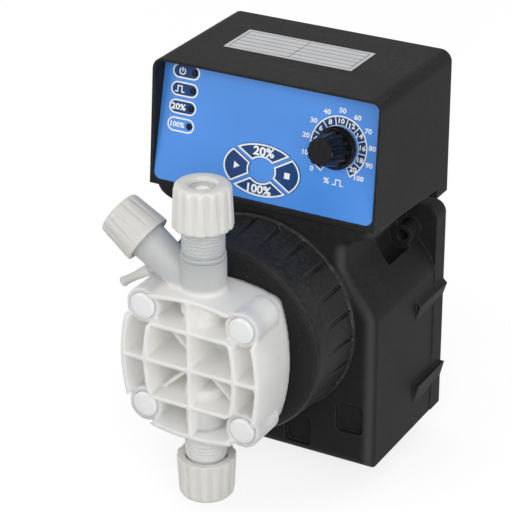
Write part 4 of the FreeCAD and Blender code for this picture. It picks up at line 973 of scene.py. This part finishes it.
class PUMP_OT_label(bpy.types.Operator):
    """Bare foil label on top, with thin ruled lines

    A point is on a line where it lies within half a pen of a whole number of steps from the first row or column.
    """

    bl_idname = "pump.label"
    bl_label = "Foil label"

    def execute(self, context):
        colours = context.scene.pump_colours
        foil = metal("Satin foil", colours.foil, rough=0.42, stretch=(60.0, 1800.0, 1800.0), corner=0.0001)
        shader_of(foil).inputs["Metallic"].default_value = 0.55
        dress(foil, "rating_label")
        low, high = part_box("rating_label")
        margin, pen, rows, columns = 2.0 * MM, 0.42 * MM, 5, 2
        tree = foil.node_tree
        place = parts_of(tree, tree.nodes["Texture Coordinate"].outputs["Object"])
        on_line, inside = [], []
        for axis, first, last, steps in (
            (0, low.x + margin, high.x - margin, columns), (1, low.y + margin, high.y - margin, rows)
        ):
            run = maths(tree, "SUBTRACT", place[axis], first)
            off = maths(tree, "PINGPONG", run, (last - first) / steps / 2)
            on_line.append(maths(tree, "LESS_THAN", off, pen / 2))
            from_middle = maths(tree, "ABSOLUTE", maths(tree, "SUBTRACT", run, (last - first) / 2))
            inside.append(maths(tree, "LESS_THAN", from_middle, (last - first) / 2 + pen / 2))
        ruled = times(tree, maths(tree, "MAXIMUM", *on_line), times(tree, *inside))
        overpaint(foil, ruled, (0.03, 0.03, 0.035))
        return {"FINISHED"}


class PUMP_OT_head(bpy.types.Operator):
    """Milky ribbed pump head with soft corners, and its white screw caps"""

    bl_idname = "pump.head"
    bl_label = "Pump head"

    def execute(self, context):
        colours = context.scene.pump_colours
        plastic = milky("Milky plastic", colours.head, scatter=0.85, reach=0.014, glow=0.035)
        # Painted shade: greyer tone on the column's foot and the bleed neck
        thin_walls(plastic, height=12.0 * MM, spread=2.0 * MM, colour=(0.42, 0.44, 0.45))
        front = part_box("pump_head")[0].y
        floor, top = front + 25.5 * MM, front + 10.0 * MM
        corners = (-22, 20), (-22, -20), (22, -20)
        webs = [web(x * MM, z * MM, top, floor, thickness=1.7 * MM) for x, z in corners]
        # The fourth web is cut away, from beside the crossing of the ribs to just short of the corner's boss
        spare = web(20.6 * MM, 18.73 * MM, front + 9.0 * MM, front + 24.95 * MM, thickness=2.1 * MM)
        inner_end = [0, 3, 4, 7]
        spare[0][inner_end] += [1.9 * MM, 0, 1.75 * MM]
        cell, passes = 0.6 * MM, 3
        softened("pump_head_soft", "pump_head", cell, passes, plastic, webs, spare)
        cap = moulded("Cap plastic", colours.cap, rough=0.35, grain=900.0, depth=0.00001, spread=0.02, edge=1.05)
        dress(cap, "screw_caps")
        dress(moulded("Diaphragm face", (0.85, 0.85, 0.84), rough=0.4), "diaphragm")
        return {"FINISHED"}


class PUMP_OT_valves(bpy.types.Operator):
    """Valve cartridges, fluted nuts, hose cones, clamp rings, seats and balls"""

    bl_idname = "pump.valves"
    bl_label = "Valves"

    def execute(self, context):
        colours = context.scene.pump_colours
        nut = milky("Nut plastic", colours.nut, rough=0.4, scatter=0.6, reach=0.006)
        dress(nut, "discharge_nut", "suction_nut", "discharge_clamp_ring", "suction_clamp_ring")
        # Painted shade: the discharge valve body gets a darker copy of the suction body's plastic
        column = milky("Valve plastic", (0.59, 0.60, 0.60), rough=0.3, scatter=0.85, reach=0.012)
        dress(column, "discharge_valve_body")
        foot = milky("Suction valve plastic", (0.76, 0.76, 0.75), rough=0.3, scatter=0.85, reach=0.012)
        dress(foot, "suction_valve_body")
        # Painted glow: the hose cones shine faintly to lighten their holes
        cone = milky("Hose cone plastic", (0.92, 0.92, 0.91), rough=0.35, scatter=0.9, reach=0.012, glow=0.16)
        dress(cone, "discharge_hose_cone", "suction_hose_cone")
        dress(moulded("Seat plastic", (0.62, 0.62, 0.60), rough=0.4), "discharge_seat", "suction_seat")
        ball = moulded(
            "Ceramic", (0.86, 0.85, 0.80), rough=0.1, grain=800.0, depth=0.000002, corner=0.0001, spread=0.02,
            coat=0.5,
        )
        dress(ball, "discharge_ball", "suction_ball")
        return {"FINISHED"}


class PUMP_OT_bleed(bpy.types.Operator):
    """Bleed knob, its needle and the thin spout"""

    bl_idname = "pump.bleed"
    bl_label = "Bleed valve"

    def execute(self, context):
        colours = context.scene.pump_colours
        # Painted shade: the bleed knob takes the nuts' plastic, made darker
        knob = milky("Bleed plastic", shade(colours.nut, 0.84), rough=0.42, scatter=0.6, reach=0.006)
        dress(knob, "bleed_knob", "bleed_nipple", "bleed_needle")
        return {"FINISHED"}


class PUMP_OT_underside(bpy.types.Operator):
    """Cable gland with its nut and locknut, and the level probe socket"""

    bl_idname = "pump.underside"
    bl_label = "Underside entries"

    def execute(self, context):
        plastic = moulded("Gland plastic", (0.03, 0.03, 0.03), corner=0.0004, edge=2.0)
        dress(plastic, "cable_gland", "gland_nut", "gland_locknut", "level_socket")
        return {"FINISHED"}


class PUMP_OT_magnet(bpy.types.Operator):
    """Electromagnet: iron, winding, bobbin, spring, guide and push rod"""

    bl_idname = "pump.magnet"
    bl_label = "Electromagnet"

    def execute(self, context):
        dress(metal("Magnet iron", (0.30, 0.30, 0.31), rough=0.42), "yoke", "pole_plate", "pole_core", "plunger")
        dress(moulded("Bobbin plastic", (0.70, 0.68, 0.60)), "coil_bobbin")
        copper = metal(
            "Enamelled copper", (0.72, 0.33, 0.14), rough=0.28, stretch=(200.0, 4000.0, 200.0), depth=0.00008
        )
        dress(copper, "coil_winding")
        dress(metal("Spring steel", (0.6, 0.6, 0.6), rough=0.2), "return_spring", "push_rod")
        dress(metal("Guide brass", (0.76, 0.58, 0.27), rough=0.28), "guide_tube", "rod_bush")
        return {"FINISHED"}


class PUMP_OT_flexing(bpy.types.Operator):
    """Copies of the return spring and the diaphragm, shown in place of their CAD pieces"""

    bl_idname = "pump.flexing"
    bl_label = "Flexing pieces"

    def execute(self, context):
        flexing("return_spring")
        flexing("diaphragm")
        return {"FINISHED"}


class PUMP_OT_board(bpy.types.Operator):
    """Circuit board with its terminal block, capacitor and potentiometer"""

    bl_idname = "pump.board"
    bl_label = "Circuit board"

    def execute(self, context):
        board = moulded(
            "Solder mask", (0.02, 0.17, 0.07), rough=0.3, grain=900.0, depth=0.00003, spread=0.15, coat=0.3
        )
        dress(board, "circuit_board")
        dress(moulded("Terminal plastic", (0.05, 0.24, 0.09), rough=0.45), "terminal_block")
        dress(moulded("Capacitor sleeve", (0.03, 0.03, 0.05), rough=0.25, coat=0.4), "capacitor")
        metal_parts = "potentiometer", "potentiometer_nut", "potentiometer_shaft"
        dress(metal("Potentiometer metal", (0.6, 0.6, 0.56)), *metal_parts)
        return {"FINISHED"}


def seen_rays(tree):
    """One for what the camera sees, straight, mirrored or through glass, and none for the light on the object."""
    rays = tree.nodes.new("ShaderNodeLightPath")
    seen = maths(tree, "MAXIMUM", rays.outputs["Is Camera Ray"], rays.outputs["Is Glossy Ray"])
    return maths(tree, "MAXIMUM", seen, rays.outputs["Is Transmission Ray"])


def aimed(name, data, place, aim, roll=0.0):
    """A lamp or the camera at a place, turned to look at a point, then rolled about that line."""
    made = placed(name, data)
    made.location = place
    made.rotation_mode = "QUATERNION"
    look = (Vector(aim) - Vector(place)).to_track_quat("-Z", "Y")
    made.rotation_quaternion = look @ Quaternion((0, 0, 1), roll)
    return made


def soft_lamp(name, place, aim, size, energy):
    """Round soft lamp."""
    light = bpy.data.lights.new(name, "AREA")
    light.shape, light.size, light.energy = "DISK", size, energy
    aimed(name, light, place, aim)


class PUMP_OT_stage(bpy.types.Operator):
    """White surroundings, soft lamps, pale floor and the camera"""

    bl_idname = "pump.stage"
    bl_label = "Stage"

    def execute(self, context):
        scene, s = context.scene, context.scene.pump_stage
        scene.view_settings.view_transform = "Standard"
        world = bpy.data.worlds.new("White room")
        scene.world = world
        world.use_nodes = True
        tree = world.node_tree
        tree.nodes.clear()
        level = remap(tree, seen_rays(tree), 0.0, 1.0, s.sky, 1.0)
        sky = node(tree, "ShaderNodeBackground", Color=(1, 1, 1, 1), Strength=level)
        out = tree.nodes.new("ShaderNodeOutputWorld")
        tree.links.new(sky.outputs[0], out.inputs["Surface"])

        middle = (0, -0.06, 0.02)
        soft_lamp("Key lamp", (0.60, -1.10, 0.55), middle, size=0.9, energy=5.5 * s.lamps)
        soft_lamp("Fill lamp", (-0.70, -1.10, 0.50), middle, size=0.9, energy=4.2 * s.lamps)
        soft_lamp("Side lamp", (1.05, -0.55, 0.06), middle, size=0.45, energy=2.2 * s.lamps)

        half, level, glow = 1.6, CAD_BOX[0].z - 0.5 * MM, 0.78
        corners = [(-half, -half, level), (half, -half, level), (half, half, level), (-half, half, level)]
        mesh = mesh_of("floor", corners, [(0, 1, 2, 3)])
        floor = placed("floor", mesh)
        material, tree, shader, place = blank("Pale floor")
        cloud = noise(tree, place, 3.0, 2.0)
        base = mixed(tree, cloud, (0.34, 0.34, 0.34), (0.37, 0.37, 0.37))
        lit = times(tree, seen_rays(tree), glow)
        fill(tree, shader, Base_Color=base, Roughness=0.9, Specular_IOR_Level=0.0)
        fill(tree, shader, Emission_Color=(1, 1, 1, 1), Emission_Strength=lit)
        mesh.materials.append(material)

        camera = bpy.data.cameras.new("Camera")
        camera.sensor_width, camera.lens = 36.0, s.lens * 1000
        camera.shift_x, camera.shift_y = s.shift
        scene.camera = aimed("Camera", camera, s.eye, s.target, s.roll)
        return {"FINISHED"}


OPERATORS = (
    PUMP_OT_case,
    PUMP_OT_brow_corners,
    PUMP_OT_collar,
    PUMP_OT_panel,
    PUMP_OT_panel_print,
    PUMP_OT_keys,
    PUMP_OT_knob,
    PUMP_OT_label,
    PUMP_OT_head,
    PUMP_OT_valves,
    PUMP_OT_bleed,
    PUMP_OT_underside,
    PUMP_OT_magnet,
    PUMP_OT_flexing,
    PUMP_OT_board,
    PUMP_OT_stage,
)


class PUMP_PT_sidebar(bpy.types.Panel):
    """Lists the pump's operators and settings"""

    bl_idname = "PUMP_PT_sidebar"
    bl_label = "Metering pump"
    bl_space_type = "VIEW_3D"
    bl_region_type = "UI"
    bl_category = "Pump"

    def draw(self, context):
        for operator in OPERATORS:
            self.layout.operator(operator.bl_idname)
        for settings in (context.scene.pump_panel, context.scene.pump_colours, context.scene.pump_stage):
            box = self.layout.box()
            for name in settings.bl_rna.properties.keys():
                if name not in ("rna_type", "name"):
                    box.prop(settings, name)


SETTINGS = (("pump_panel", PumpPanelSizes), ("pump_colours", PumpColours), ("pump_stage", PumpStage))


def register():
    for name, settings in SETTINGS:
        bpy.utils.register_class(settings)
        setattr(bpy.types.Scene, name, PointerProperty(type=settings))
    for operator in OPERATORS:
        bpy.utils.register_class(operator)
    bpy.utils.register_class(PUMP_PT_sidebar)


def unregister():
    bpy.utils.unregister_class(PUMP_PT_sidebar)
    for operator in reversed(OPERATORS):
        bpy.utils.unregister_class(operator)
    for name, settings in reversed(SETTINGS):
        delattr(bpy.types.Scene, name)
        bpy.utils.unregister_class(settings)


def main():
    register()
    for operator in OPERATORS:
        part, action = operator.bl_idname.split(".")
        getattr(getattr(bpy.ops, part), action)()


if __name__ == "__main__":
    main()
